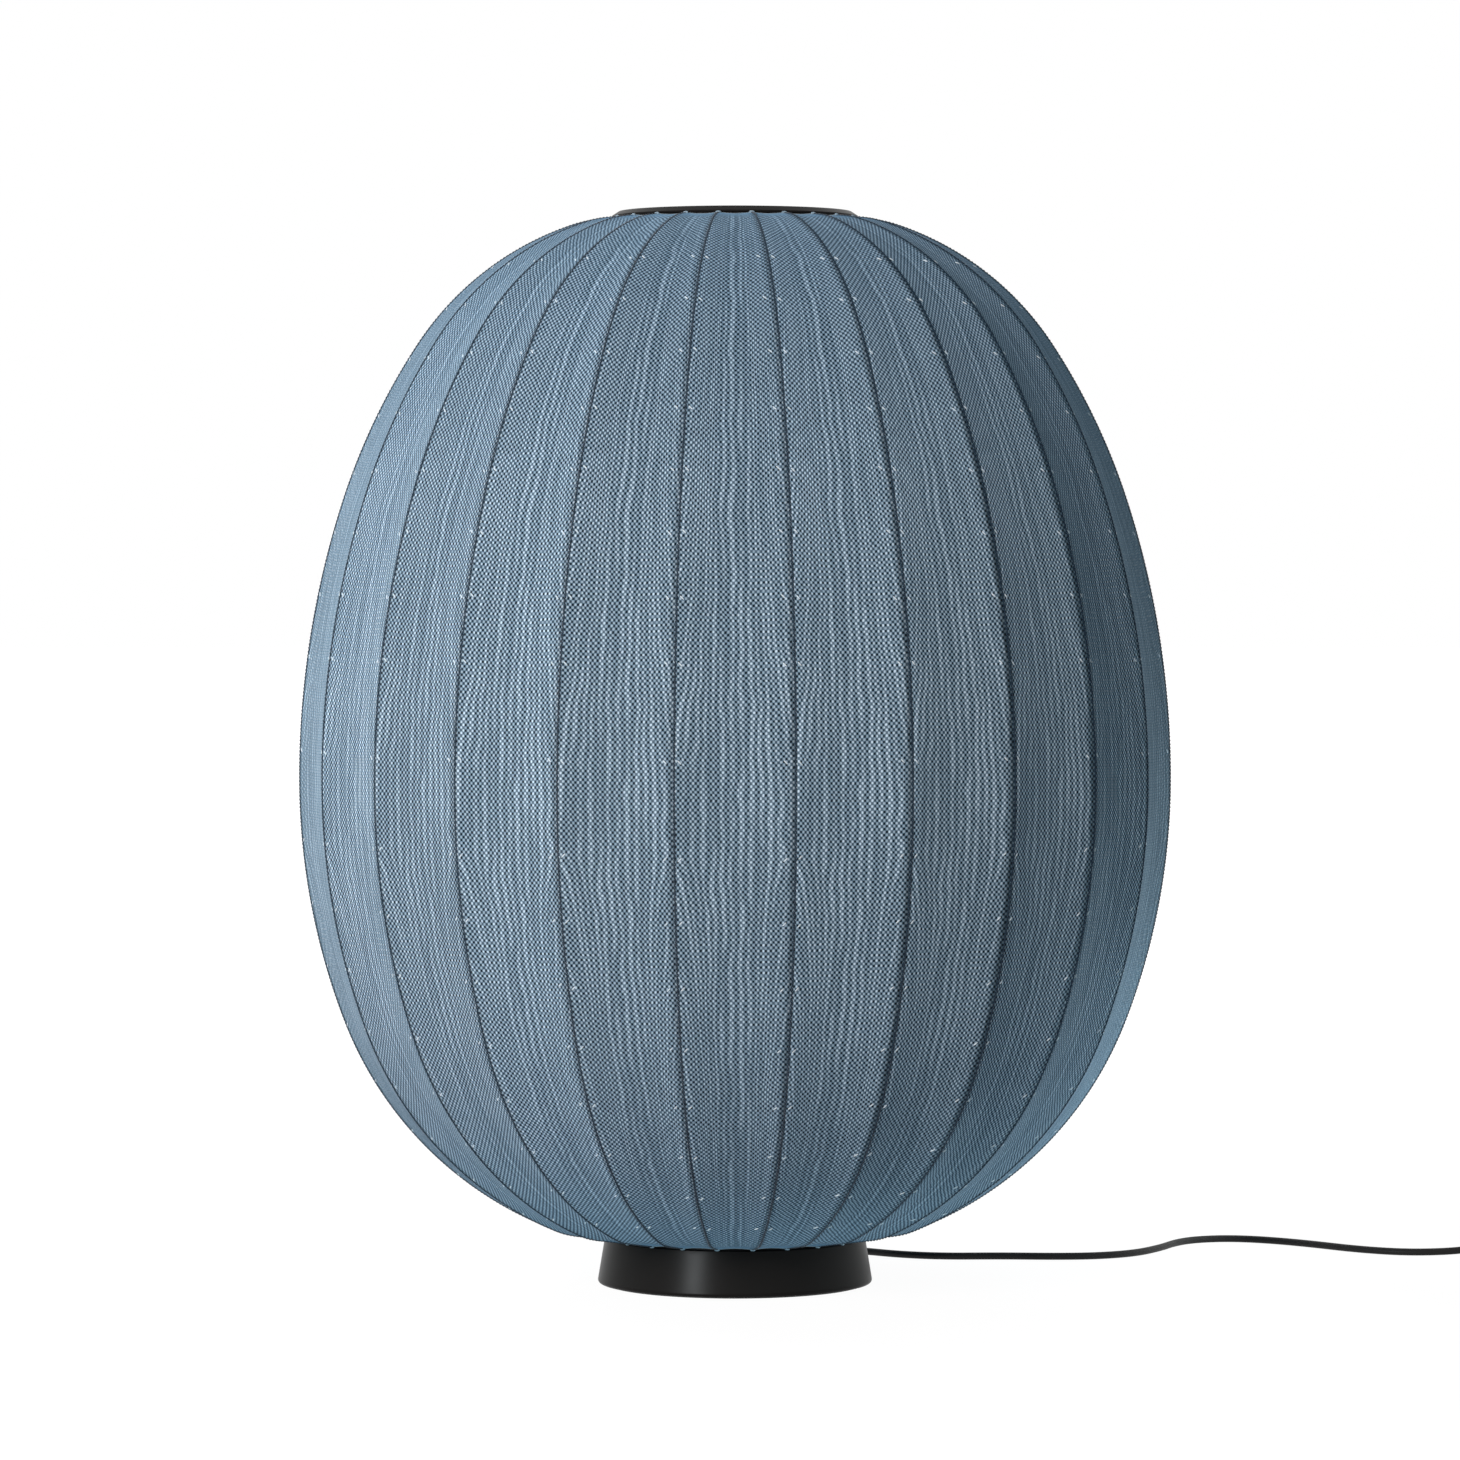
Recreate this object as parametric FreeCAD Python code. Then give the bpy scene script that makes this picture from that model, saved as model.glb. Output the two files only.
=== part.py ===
import FreeCAD, Part
import math
import os

# Knitted shade floor lamp: a knitted tube in gores, held tight by bowed ribs between
# two socket rings, on a low weighted foot, with a lampholder on a stem inside.
# Millimetres. Origin on the floor under the middle of the foot, +Z up, the lead leaves along +Y.

# Foot
BASE_HEIGHT = 35.2
BASE_TOP_R = 97.5
BASE_FOOT_R = 103.2
BASE_WALL = 3.0
BASE_TOP_ROUND = 0.8
BASE_RIM_SHARE = 0.94
RIM_LIFT = 1.0
PAD_THICKNESS = 2.0
PLATE_THICKNESS = 1.5
BALLAST_THICKNESS = 12.0
BALLAST_GAP = 4.9
BOSS_R = 7.0
BOSS_FROM_RIM = 25.0
BOSS_ANGLES = (30.0, 150.0, 270.0)

# Shade, measured on the outer face of the knit over a rib; its arcs are shares of the belly radius
RIB_COUNT = 24
BELLY_R = 325.5
UPPER_ARC_SHARES = (2.0584, 1.4808, 0.6882, 0.2458)
UPPER_ARC_DEGREES = (17.9, 15.4, 38.7, 12.0)
LOWER_ARC_SHARES = (1.5515, 0.8449, 0.1905)
LOWER_ARC_DEGREES = (20.8, 46.1, 14.1)
HEM_OVERHANG = 0.5
HEM_GAP = 0.9
KNIT_THICKNESS = 1.2
PANEL_SAG = 0.036
KNIT_STEP = 12.0
GORE_STEPS = 4
SEAM_TOLERANCE = 0.001
SEAM_GAP_DEGREES = 0.01

# Ribs, their casings and the socket rings
RIB_D = 3.0
CASING_BORE_D = 4.0
CASING_WALL = 0.6
CASING_GAP = 0.75
CASING_SIDES = 6
RING_WIDTH = 13.0
RING_HEIGHT = 11.0
RING_SETBACK = 2.5
SOCKET_DEPTH = 10.0
SOCKET_CLEARANCE = 0.25
RING_TOP_RISE = 1.4
RING_SCREW_ANGLES = (45.0, 165.0, 285.0)
RING_SCREW_DEPTH = 7.7

# Top cap
CAP_R = 92.0
CAP_THICKNESS = 3.4
CAP_BEVEL = 5.0
CAP_RIM_GAP = 0.5
CAP_RIM_HEIGHT = 1.3
CAP_SEAT_GAP = 0.3
SPIGOT_HEIGHT = 6.0
SPIGOT_WALL = 3.0
SPIGOT_CLEARANCE = 0.4

# Stem and lampholder
ROD_D = 10.0
ROD_BORE_D = 7.0
STEM_D = 16.0
STEM_LENGTH = 235.0
NUT_ACROSS_FLATS = 17.0
NUT_HEIGHT = 6.0
WASHER_D = 24.0
WASHER_THICKNESS = 1.6
ROD_TAIL = 1.0
ROD_INTO_HOLDER = 10.0
HOLDER_D = 40.0
HOLDER_WALL = 2.4
HOLDER_CAP_HEIGHT = 24.0
HOLDER_CAP_NOSE_D = 24.0
HOLDER_CAP_TAPER = 10.0
HOLDER_BODY_HEIGHT = 38.0
HOLDER_LEDGE = 2.0
INSULATOR_THICKNESS = 8.0
SCREW_SHELL_WALL = 0.6
SCREW_SHELL_LENGTH = 24.0
CONTACT_LEAF_HEIGHT = 3.0
CONTACT_LEAF_WIDTH = 6.0

# Bulb with a 27 mm screw cap
BULB_CAP_D = 26.4
BULB_CAP_LENGTH = 21.0
BULB_CAP_TAPER = 5.0
BULB_TIP_D = 11.0
BULB_TIP_HEIGHT = 3.0
GLOBE_D = 95.0
GLOBE_NECK_D = 28.0
GLOBE_NECK_LENGTH = 6.0
GLOBE_SHOULDER_DEGREES = 50.0
GLASS_WALL = 1.0
THREAD_CLEARANCE = 0.25

# Fits and screws
FIT = 0.1
SCREW_D = 4.0
SCREW_HEAD_D = 7.2
SCREW_HEAD_HEIGHT = 1.6
SCREW_GRIP = 10.0
SMALL_SCREW_D = 3.0
SMALL_SCREW_HEAD_D = 5.6
SMALL_SCREW_HEAD_HEIGHT = 1.8
SCREW_POCKET_GAP = 0.5

# Mains lead and its way into the foot
CORD_D = 5.5
CORD_EXIT_HEIGHT = 11.0
FLOOR_GAP = 0.1
RELIEF_LENGTH = 30.0
RELIEF_D = 12.0
RELIEF_TIP_D = 8.0
RELIEF_FLANGE_D = 15.0
RELIEF_FLANGE_THICKNESS = 2.5
CLAMP_FROM_RIM = 11.0
CLAMP_WIDTH = 26.0
CLAMP_DEPTH = 10.0
CLAMP_THICKNESS = 3.5
CLAMP_SCREW_SPACING = 17.0
LEAD_D = 2.0
LEAD_SPACING = 2.4
LEAD_HEIGHT = 7.0
LEAD_STRAIGHT = 10.0
LEAD_DROP = 24.0
LEAD_TURN = 14.0
BEND_SHARE = 0.45

# Foot switch on the lead
SWITCH_LENGTH = 84.0
SWITCH_WIDTH = 36.0
SWITCH_HEIGHT = 20.0
SWITCH_CORNER_R = 10.0
SWITCH_TOP_ROUND = 3.0
SWITCH_WALL = 2.0
SWITCH_CORD_HEIGHT = 6.0
SWITCH_START = (598.0, 179.0)
BUTTON_D = 20.0
BUTTON_PROUD = 3.0
BUTTON_FLANGE = 2.0
BUTTON_FLANGE_THICKNESS = 1.4
BUTTON_CLEARANCE = 0.3
BUTTON_HEIGHT = 8.0
BUTTON_ROUND = 1.0
SPRING_D = 8.0
SPRING_WIRE_D = 0.8
SPRING_TURNS = 4
SPRING_PIN_D = 5.0
SPRING_PIN_HEIGHT = 5.0
STRIP_THICKNESS = 0.8
STRIP_WIDTH = 8.0
STRIP_HEIGHT = 6.0
STRIP_FROM_CENTRE = 14.0
SWITCH_SCREW_FROM_CENTRE = 28.0

# Spare lead wound into a coil, with its tie and plug
COIL_TURNS = 6.5
COIL_INNER_R = 23.0
COIL_GAP = 0.6
COIL_LEAD_IN = 36.0
COIL_LEAD_OUT = 28.0
TIE_THICKNESS = 0.8
TIE_WIDTH = 10.0
TIE_GAP = 0.3
TIE_INSIDE_GAP = 1.2
PLUG_RELIEF_LENGTH = 26.0
PLUG_RELIEF_D = 13.0
PLUG_RELIEF_TIP_D = 8.5
PLUG_LENGTH = 36.0
PLUG_WIDTH = 35.0
PLUG_ROUND = 4.0
PIN_D = 4.0
PIN_SPACING = 18.6
PIN_LENGTH = 19.0
PIN_ROOT = 10.0
PIN_TIP_ROUND = 1.2

Z_AXIS = FreeCAD.Vector(0, 0, 1)
ORIGIN = FreeCAD.Vector(0, 0, 0)


def vec(x, y, z):
    return FreeCAD.Vector(x, y, z)


# Heights that follow from the sizes above
PLATE_TOP = PAD_THICKNESS + PLATE_THICKNESS
DECK_UNDERSIDE = BASE_HEIGHT - BASE_WALL
BALLAST_BOTTOM = DECK_UNDERSIDE - BALLAST_THICKNESS
WASHER_BOTTOM = BALLAST_BOTTOM - WASHER_THICKNESS
NUT_BOTTOM = WASHER_BOTTOM - NUT_HEIGHT
ROD_BOTTOM = NUT_BOTTOM - ROD_TAIL
HOLDER_BOTTOM = BASE_HEIGHT + STEM_LENGTH
ROD_TOP = HOLDER_BOTTOM + ROD_INTO_HOLDER
HOLDER_BODY_BOTTOM = HOLDER_BOTTOM + HOLDER_CAP_HEIGHT
INSULATOR_BOTTOM = HOLDER_BODY_BOTTOM + HOLDER_LEDGE
INSULATOR_TOP = INSULATOR_BOTTOM + INSULATOR_THICKNESS
BULB_TIP_BOTTOM = INSULATOR_TOP + CONTACT_LEAF_HEIGHT
BULB_CAP_BOTTOM = BULB_TIP_BOTTOM + BULB_TIP_HEIGHT
GLOBE_BOTTOM = BULB_CAP_BOTTOM + BULB_CAP_LENGTH
SCREW_SHELL_R = BULB_CAP_D / 2 + THREAD_CLEARANCE

# Rib and ring sizes that follow
CASING_R = CASING_BORE_D / 2 + CASING_WALL
RIB_INSET = KNIT_THICKNESS + CASING_GAP + CASING_R
RIB_STEP = 360.0 / RIB_COUNT
LOWER_HEM_R = BASE_TOP_R + HEM_OVERHANG
LOWER_RING_R = BASE_TOP_R - RING_SETBACK
UPPER_RING_R = CAP_R - RING_SETBACK
RING_SCREW_CIRCLE_R = LOWER_RING_R - RING_WIDTH / 2
RING_SCREW_TOP = BASE_HEIGHT + RING_SCREW_DEPTH
SOCKET_R = RIB_D / 2 + SOCKET_CLEARANCE

# Weight and its fixings, kept inside the ring screws
BALLAST_R = RING_SCREW_CIRCLE_R - SCREW_HEAD_D / 2 - BALLAST_GAP
BOSS_CIRCLE_R = BALLAST_R - BOSS_FROM_RIM
CLAMP_FROM_AXIS = BALLAST_R - CLAMP_FROM_RIM


# Small building helpers
def disc(radius, bottom, top):
    return Part.makeCylinder(radius, top - bottom, vec(0, 0, bottom))


def ring(outer_r, inner_r, bottom, top):
    return disc(outer_r, bottom, top).cut(disc(inner_r, bottom, top))


def box(low, high):
    size = high.sub(low)
    return Part.makeBox(size.x, size.y, size.z, low)


def turned(points):
    outline = [vec(r, 0, z) for r, z in points]
    face = Part.Face(Part.makePolygon(outline + outline[:1]))
    return face.revolve(ORIGIN, Z_AXIS, 360)


def moved(shape, x, y, z=0.0):
    copy = shape.copy()
    copy.translate(vec(x, y, z))
    return copy


def turned_to(shape, degrees):
    copy = shape.copy()
    copy.rotate(ORIGIN, Z_AXIS, degrees)
    return copy


def ring_of(shape, radius, degrees):
    return [turned_to(moved(shape, radius, 0), angle) for angle in degrees]


def screw(shank_d, head_d, head_height, head_bottom, shank_top):
    head = disc(head_d / 2, head_bottom, head_bottom + head_height)
    return head.fuse(disc(shank_d / 2, head_bottom, shank_top)).removeSplitter()


def path_start(edges):
    first = edges[0].FirstParameter
    return edges[0].valueAt(first), edges[0].tangentAt(first)


def sweep_section(edges, section):
    return Part.Wire(edges).makePipeShell([section], True, False)


def sweep(edges, radius):
    circle = Part.Circle(*path_start(edges), radius)
    return sweep_section(edges, Part.Wire(circle.toShape()))


def save(name, shape):
    shape.exportStep("parts/" + name + ".step")


# The shade's upright line: tangent arcs from the belly, then a straight run to each hem
def arc_chain(shares, degrees, sign):
    arcs = []
    radii = [share * BELLY_R for share in shares]
    centre_r = BELLY_R - radii[0]
    centre_z = 0.0
    angle = 0.0
    for index, radius in enumerate(radii):
        swept = sign * math.radians(degrees[index])
        arcs.append((centre_r, centre_z, radius, angle, angle + swept))
        angle += swept
        if index + 1 < len(radii):
            step = radius - radii[index + 1]
            centre_r += step * math.cos(angle)
            centre_z += step * math.sin(angle)
    return arcs


UPPER_ARCS = arc_chain(UPPER_ARC_SHARES, UPPER_ARC_DEGREES, 1)
LOWER_ARCS = arc_chain(LOWER_ARC_SHARES, LOWER_ARC_DEGREES, -1)


def on_arc(arc, angle, inset):
    centre_r, centre_z, radius, _, _ = arc
    reach = radius - inset
    return centre_r + reach * math.cos(angle), centre_z + reach * math.sin(angle)


def run_direction(arcs):
    end_angle = arcs[-1][4]
    sign = math.copysign(1.0, end_angle)
    return -math.sin(abs(end_angle)), sign * math.cos(end_angle)


def run_length(arcs, hem_r):
    end_r, _ = on_arc(arcs[-1], arcs[-1][4], 0.0)
    return (hem_r - end_r) / run_direction(arcs)[0]


def run_end(arcs, hem_r, inset, extra=0.0):
    start_r, start_z = on_arc(arcs[-1], arcs[-1][4], inset)
    along_r, along_z = run_direction(arcs)
    length = run_length(arcs, hem_r) + extra
    return start_r + along_r * length, start_z + along_z * length


# Belly height, so that the lower hem lies a set gap above the foot
BELLY_Z = BASE_HEIGHT + HEM_GAP - run_end(LOWER_ARCS, LOWER_HEM_R, 0.0)[1]
UPPER_HEM_Z = BELLY_Z + run_end(UPPER_ARCS, CAP_R, 0.0)[1]
UPPER_RING_TOP = UPPER_HEM_Z + RING_TOP_RISE
UPPER_RING_BOTTOM = UPPER_RING_TOP - RING_HEIGHT
LOWER_RING_TOP = BASE_HEIGHT + RING_HEIGHT
CAP_BOTTOM = UPPER_RING_TOP + CAP_SEAT_GAP
CAP_TOP = CAP_BOTTOM + CAP_THICKNESS


def upright(point):
    return vec(point[0], 0, BELLY_Z + point[1])


def line_edge(start, end):
    return Part.LineSegment(start, end).toShape()


def arc_edges(arcs, inset):
    edges = []
    for arc in arcs:
        middle = (arc[3] + arc[4]) / 2
        stops = [upright(on_arc(arc, angle, inset)) for angle in (arc[3], middle, arc[4])]
        edges.append(Part.Arc(*stops).toShape())
    return edges


def reversed_edges(edges):
    turned_edges = []
    for edge in reversed(edges):
        first, last = edge.ParameterRange
        stops = [edge.valueAt(value) for value in (last, (first + last) / 2, first)]
        turned_edges.append(Part.Arc(*stops).toShape())
    return turned_edges


def upright_path(inset, lower_extra, upper_extra):
    lower_end = upright(run_end(LOWER_ARCS, LOWER_HEM_R, inset, lower_extra))
    upper_end = upright(run_end(UPPER_ARCS, CAP_R, inset, upper_extra))
    lower = reversed_edges(arc_edges(LOWER_ARCS, inset))
    upper = arc_edges(UPPER_ARCS, inset)
    first = line_edge(lower_end, lower[0].valueAt(lower[0].FirstParameter))
    last = line_edge(upper[-1].valueAt(upper[-1].LastParameter), upper_end)
    return [first] + lower + upper + [last]


def socket_reach(arcs, hem_r, ring_r):
    rib_r, _ = run_end(arcs, hem_r, RIB_INSET)
    return (rib_r - ring_r + SOCKET_DEPTH) / -run_direction(arcs)[0]


LOWER_REACH = socket_reach(LOWER_ARCS, LOWER_HEM_R, LOWER_RING_R)
UPPER_REACH = socket_reach(UPPER_ARCS, CAP_R, UPPER_RING_R)
RIB_ANGLES = [(index + 0.5) * RIB_STEP for index in range(RIB_COUNT)]


def rib():
    reach_cut = SOCKET_CLEARANCE
    edges = upright_path(RIB_INSET, LOWER_REACH - reach_cut, UPPER_REACH - reach_cut)
    return sweep(edges, RIB_D / 2)


# A casing's section has flat sides, one of them towards the knit
def casing_section(edges, half_width):
    start, direction = path_start(edges)
    sideways = vec(0, 1, 0)
    outward = sideways.cross(direction)
    corner_r = half_width / math.cos(math.pi / CASING_SIDES)
    corners = []
    for index in range(CASING_SIDES + 1):
        turn = 2 * math.pi * (index + 0.5) / CASING_SIDES
        away = outward * math.cos(turn) + sideways * math.sin(turn)
        corners.append(start + away * corner_r)
    return Part.makePolygon(corners)


def casing():
    edges = upright_path(RIB_INSET, 0.0, 0.0)
    outside = sweep_section(edges, casing_section(edges, CASING_R))
    inside = sweep_section(edges, casing_section(edges, CASING_BORE_D / 2))
    return outside.cut(inside)


def socket(arcs, hem_r, reach):
    mouth = upright(run_end(arcs, hem_r, RIB_INSET))
    bottom = upright(run_end(arcs, hem_r, RIB_INSET, reach))
    inward = bottom.sub(mouth)
    return Part.makeCylinder(SOCKET_R, inward.Length, mouth, inward)


def socket_ring(outer_r, bottom, top, hole):
    body = ring(outer_r, outer_r - RING_WIDTH, bottom, top)
    holes = [turned_to(hole, angle) for angle in RIB_ANGLES]
    return body.cut(Part.makeCompound(holes))


# Where the knit's cross sections lie: (radius, height, outward angle) on the outer face
def side_stations(arcs, hem_r):
    stations = []
    for arc in arcs:
        steps = max(1, round(arc[2] * abs(arc[4] - arc[3]) / KNIT_STEP))
        for step in range(steps):
            angle = arc[3] + (arc[4] - arc[3]) * step / steps
            stations.append((*on_arc(arc, angle, 0.0), angle))
    end_angle = arcs[-1][4]
    length = run_length(arcs, hem_r)
    steps = max(1, round(length / KNIT_STEP))
    for step in range(steps + 1):
        left_over = length * (step / steps - 1)
        stations.append((*run_end(arcs, hem_r, 0.0, left_over), end_angle))
    return stations


def knit_stations():
    lower = side_stations(LOWER_ARCS, LOWER_HEM_R)
    return lower[:0:-1] + side_stations(UPPER_ARCS, CAP_R)


# One row of points across a gore, drawn in between its two ribs
def gore_row(station, inset):
    radius, height, angle = station
    half = math.radians(RIB_STEP / 2 - SEAM_GAP_DEGREES)
    reach = radius - inset * math.cos(angle)
    level = BELLY_Z + height - inset * math.sin(angle)
    half_chord = reach * math.sin(half)
    middle = vec(reach * math.cos(half), 0, level)
    inward = vec(-math.cos(angle) * math.cos(half), 0, -math.sin(angle)).normalize()
    sag = 2 * half_chord * PANEL_SAG
    row = []
    for step in range(GORE_STEPS + 1):
        across = 2 * step / GORE_STEPS - 1
        row.append(middle + vec(0, half_chord * across, 0) + inward * (sag * (1 - across ** 2)))
    return row


def gore_skin(inset):
    surface = Part.BSplineSurface()
    surface.interpolate([gore_row(station, inset) for station in knit_stations()])
    return surface


def edge_wall(outer_edge, inner_edge):
    return Part.makeRuledSurface(outer_edge.toShape(), inner_edge.toShape())


def gore():
    outer = gore_skin(0.0)
    inner = gore_skin(KNIT_THICKNESS)
    first_row, last_row, first_column, last_column = outer.bounds()
    faces = [outer.toShape(), inner.toShape()]
    for stop in (first_row, last_row):
        faces.append(edge_wall(outer.uIso(stop), inner.uIso(stop)))
    for stop in (first_column, last_column):
        faces.append(edge_wall(outer.vIso(stop), inner.vIso(stop)))
    skin = Part.makeCompound(faces)
    skin.sewShape(SEAM_TOLERANCE)
    return Part.makeSolid(skin.Shells[0])


# The knit is gores, each a solid of its own, that meet in a seam over every rib
def knit_shade():
    one = gore()
    return Part.makeCompound([turned_to(one, index * RIB_STEP) for index in range(RIB_COUNT)])


# Top cap: bevelled disc with a rim over the hem and a spigot in the upper ring
def top_cap():
    rim_bottom = UPPER_HEM_Z + CAP_RIM_GAP
    rim_top = rim_bottom + CAP_RIM_HEIGHT
    rim_inner_r = UPPER_RING_R + SPIGOT_CLEARANCE
    spigot_r = UPPER_RING_R - RING_WIDTH - SPIGOT_CLEARANCE
    spigot_bottom = CAP_BOTTOM - SPIGOT_HEIGHT
    return turned([
        (0, CAP_TOP),
        (CAP_R - CAP_BEVEL, CAP_TOP),
        (CAP_R, rim_top),
        (CAP_R, rim_bottom),
        (rim_inner_r, rim_bottom),
        (rim_inner_r, CAP_BOTTOM),
        (spigot_r, CAP_BOTTOM),
        (spigot_r, spigot_bottom),
        (spigot_r - SPIGOT_WALL, spigot_bottom),
        (spigot_r - SPIGOT_WALL, CAP_BOTTOM),
        (0, CAP_BOTTOM),
    ])


# Foot
def foot_r(height):
    share = (height - RIM_LIFT) / (BASE_HEIGHT - RIM_LIFT)
    return BASE_FOOT_R + (BASE_TOP_R - BASE_FOOT_R) * share


def level_edges(shape, height):
    edges = []
    for edge in shape.Edges:
        span = edge.BoundBox
        if abs(span.ZMax - height) < FIT and abs(span.ZMin - height) < FIT:
            edges.append(edge)
    return edges


def rounded_rims(shape, radius, height, size):
    rims = [edge for edge in level_edges(shape, height) if abs(edge.BoundBox.XMax - radius) < FIT]
    return shape.makeFillet(size, rims)


# The lower lip is rounded over a set share of the wall, however far the wall leans
def lip_round():
    lean = math.atan2(BASE_HEIGHT - RIM_LIFT, BASE_FOOT_R - BASE_TOP_R)
    return BASE_RIM_SHARE * BASE_WALL * math.tan(lean / 2)


def base_shell():
    inner_top = DECK_UNDERSIDE
    shell = turned([
        (0, BASE_HEIGHT),
        (BASE_TOP_R, BASE_HEIGHT),
        (BASE_FOOT_R, RIM_LIFT),
        (BASE_FOOT_R - BASE_WALL, RIM_LIFT),
        (foot_r(inner_top) - BASE_WALL, inner_top),
        (0, inner_top),
    ])
    shell = rounded_rims(shell, BASE_FOOT_R, RIM_LIFT, lip_round())
    shell = rounded_rims(shell, BASE_TOP_R, BASE_HEIGHT, BASE_TOP_ROUND)
    rod_hole = disc(ROD_D / 2 + FIT, 0, BASE_HEIGHT)
    screw_hole = disc(SCREW_D / 2 + FIT, 0, BASE_HEIGHT)
    lead_hole = Part.makeCylinder(
        RELIEF_D / 2 + FIT, RELIEF_END, vec(0, 0, CORD_EXIT_HEIGHT), vec(0, 1, 0))
    holes = [rod_hole, lead_hole] + ring_of(screw_hole, RING_SCREW_CIRCLE_R, RING_SCREW_ANGLES)
    return shell.cut(Part.makeCompound(holes))


def floor_pad():
    pad = disc(BASE_FOOT_R - 2 * BASE_WALL, 0, PAD_THICKNESS)
    pocket = disc(SCREW_HEAD_D / 2 + SCREW_POCKET_GAP, 0, PAD_THICKNESS)
    return pad.cut(Part.makeCompound(ring_of(pocket, BOSS_CIRCLE_R, BOSS_ANGLES)))


def base_plate():
    plate_r = foot_r(PLATE_TOP) - BASE_WALL - SCREW_POCKET_GAP
    plate = disc(plate_r, PAD_THICKNESS, PLATE_TOP)
    hole = disc(SCREW_D / 2 + FIT, PAD_THICKNESS, PLATE_TOP)
    return plate.cut(Part.makeCompound(ring_of(hole, BOSS_CIRCLE_R, BOSS_ANGLES)))


def plate_screws():
    head_bottom = PAD_THICKNESS - SCREW_HEAD_HEIGHT
    one = screw(SCREW_D, SCREW_HEAD_D, SCREW_HEAD_HEIGHT, head_bottom, PLATE_TOP + SCREW_GRIP)
    return Part.makeCompound(ring_of(one, BOSS_CIRCLE_R, BOSS_ANGLES))


def clamp_block(bottom, top):
    half_depth = CLAMP_DEPTH / 2
    low = vec(-CLAMP_WIDTH / 2, CLAMP_FROM_AXIS - half_depth, bottom)
    high = vec(CLAMP_WIDTH / 2, CLAMP_FROM_AXIS + half_depth, top)
    return box(low, high)


CLAMP_TOP = CORD_EXIT_HEIGHT - CORD_D / 2 - FIT
CLAMP_BOSS_BOTTOM = CORD_EXIT_HEIGHT + CORD_D / 2 + FIT
CLAMP_BOTTOM = CLAMP_TOP - CLAMP_THICKNESS


def at_clamp_screws(shape):
    offset = CLAMP_SCREW_SPACING / 2
    return [moved(shape, side * offset, CLAMP_FROM_AXIS) for side in (-1, 1)]


def ballast_weight():
    weight = disc(BALLAST_R, BALLAST_BOTTOM, DECK_UNDERSIDE)
    boss = disc(BOSS_R, PLATE_TOP, DECK_UNDERSIDE)
    additions = ring_of(boss, BOSS_CIRCLE_R, BOSS_ANGLES)
    additions.append(clamp_block(CLAMP_BOSS_BOTTOM, DECK_UNDERSIDE))
    weight = weight.fuse(additions).removeSplitter()
    screw_hole = disc(SCREW_D / 2 + FIT, PLATE_TOP, PLATE_TOP + SCREW_GRIP + FIT)
    clamp_hole = disc(SMALL_SCREW_D / 2 + FIT, CLAMP_BOSS_BOTTOM, DECK_UNDERSIDE - BASE_WALL)
    holes = ring_of(screw_hole, BOSS_CIRCLE_R, BOSS_ANGLES) + at_clamp_screws(clamp_hole)
    holes.append(disc(ROD_D / 2 + FIT, BALLAST_BOTTOM, DECK_UNDERSIDE))
    return weight.cut(Part.makeCompound(holes))


def cord_clamp():
    bar = clamp_block(CLAMP_BOTTOM, CLAMP_TOP)
    shank = disc(SMALL_SCREW_D / 2 + FIT, CLAMP_BOTTOM, CLAMP_TOP)
    head = disc(SMALL_SCREW_HEAD_D / 2 + FIT, CLAMP_BOTTOM, CLAMP_BOTTOM + SMALL_SCREW_HEAD_HEIGHT)
    return bar.cut(Part.makeCompound(at_clamp_screws(shank) + at_clamp_screws(head)))


def clamp_screws():
    one = screw(SMALL_SCREW_D, SMALL_SCREW_HEAD_D, SMALL_SCREW_HEAD_HEIGHT,
                CLAMP_BOTTOM, BALLAST_BOTTOM)
    return Part.makeCompound(at_clamp_screws(one))


def ring_screws():
    head_bottom = DECK_UNDERSIDE - SCREW_HEAD_HEIGHT
    one = screw(SCREW_D, SCREW_HEAD_D, SCREW_HEAD_HEIGHT, head_bottom, RING_SCREW_TOP - FIT)
    return Part.makeCompound(ring_of(one, RING_SCREW_CIRCLE_R, RING_SCREW_ANGLES))


def lower_rib_ring():
    hole = socket(LOWER_ARCS, LOWER_HEM_R, LOWER_REACH)
    body = socket_ring(LOWER_RING_R, BASE_HEIGHT, LOWER_RING_TOP, hole)
    screw_hole = disc(SCREW_D / 2 + FIT, BASE_HEIGHT, RING_SCREW_TOP)
    return body.cut(Part.makeCompound(ring_of(screw_hole, RING_SCREW_CIRCLE_R, RING_SCREW_ANGLES)))


def upper_rib_ring():
    hole = socket(UPPER_ARCS, CAP_R, UPPER_REACH)
    return socket_ring(UPPER_RING_R, UPPER_RING_BOTTOM, UPPER_RING_TOP, hole)


# Stem and lampholder
def stem_nut():
    corner_r = NUT_ACROSS_FLATS / math.sqrt(3)
    corners = []
    for index in range(7):
        turn = math.radians(60 * index)
        corners.append(vec(corner_r * math.cos(turn), corner_r * math.sin(turn), NUT_BOTTOM))
    block = Part.Face(Part.makePolygon(corners)).extrude(vec(0, 0, NUT_HEIGHT))
    return block.cut(disc(ROD_D / 2 + FIT, NUT_BOTTOM, WASHER_BOTTOM))


def holder_cap():
    outer_r = HOLDER_D / 2
    inner_r = outer_r - HOLDER_WALL
    nose_r = HOLDER_CAP_NOSE_D / 2
    rod_r = ROD_D / 2 + FIT
    return turned([
        (rod_r, HOLDER_BOTTOM),
        (nose_r, HOLDER_BOTTOM),
        (outer_r, HOLDER_BOTTOM + HOLDER_CAP_TAPER),
        (outer_r, HOLDER_BODY_BOTTOM),
        (inner_r, HOLDER_BODY_BOTTOM),
        (inner_r, HOLDER_BOTTOM + HOLDER_CAP_TAPER + HOLDER_WALL),
        (nose_r - HOLDER_WALL, HOLDER_BOTTOM + HOLDER_WALL),
        (rod_r, HOLDER_BOTTOM + HOLDER_WALL),
    ])


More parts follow.
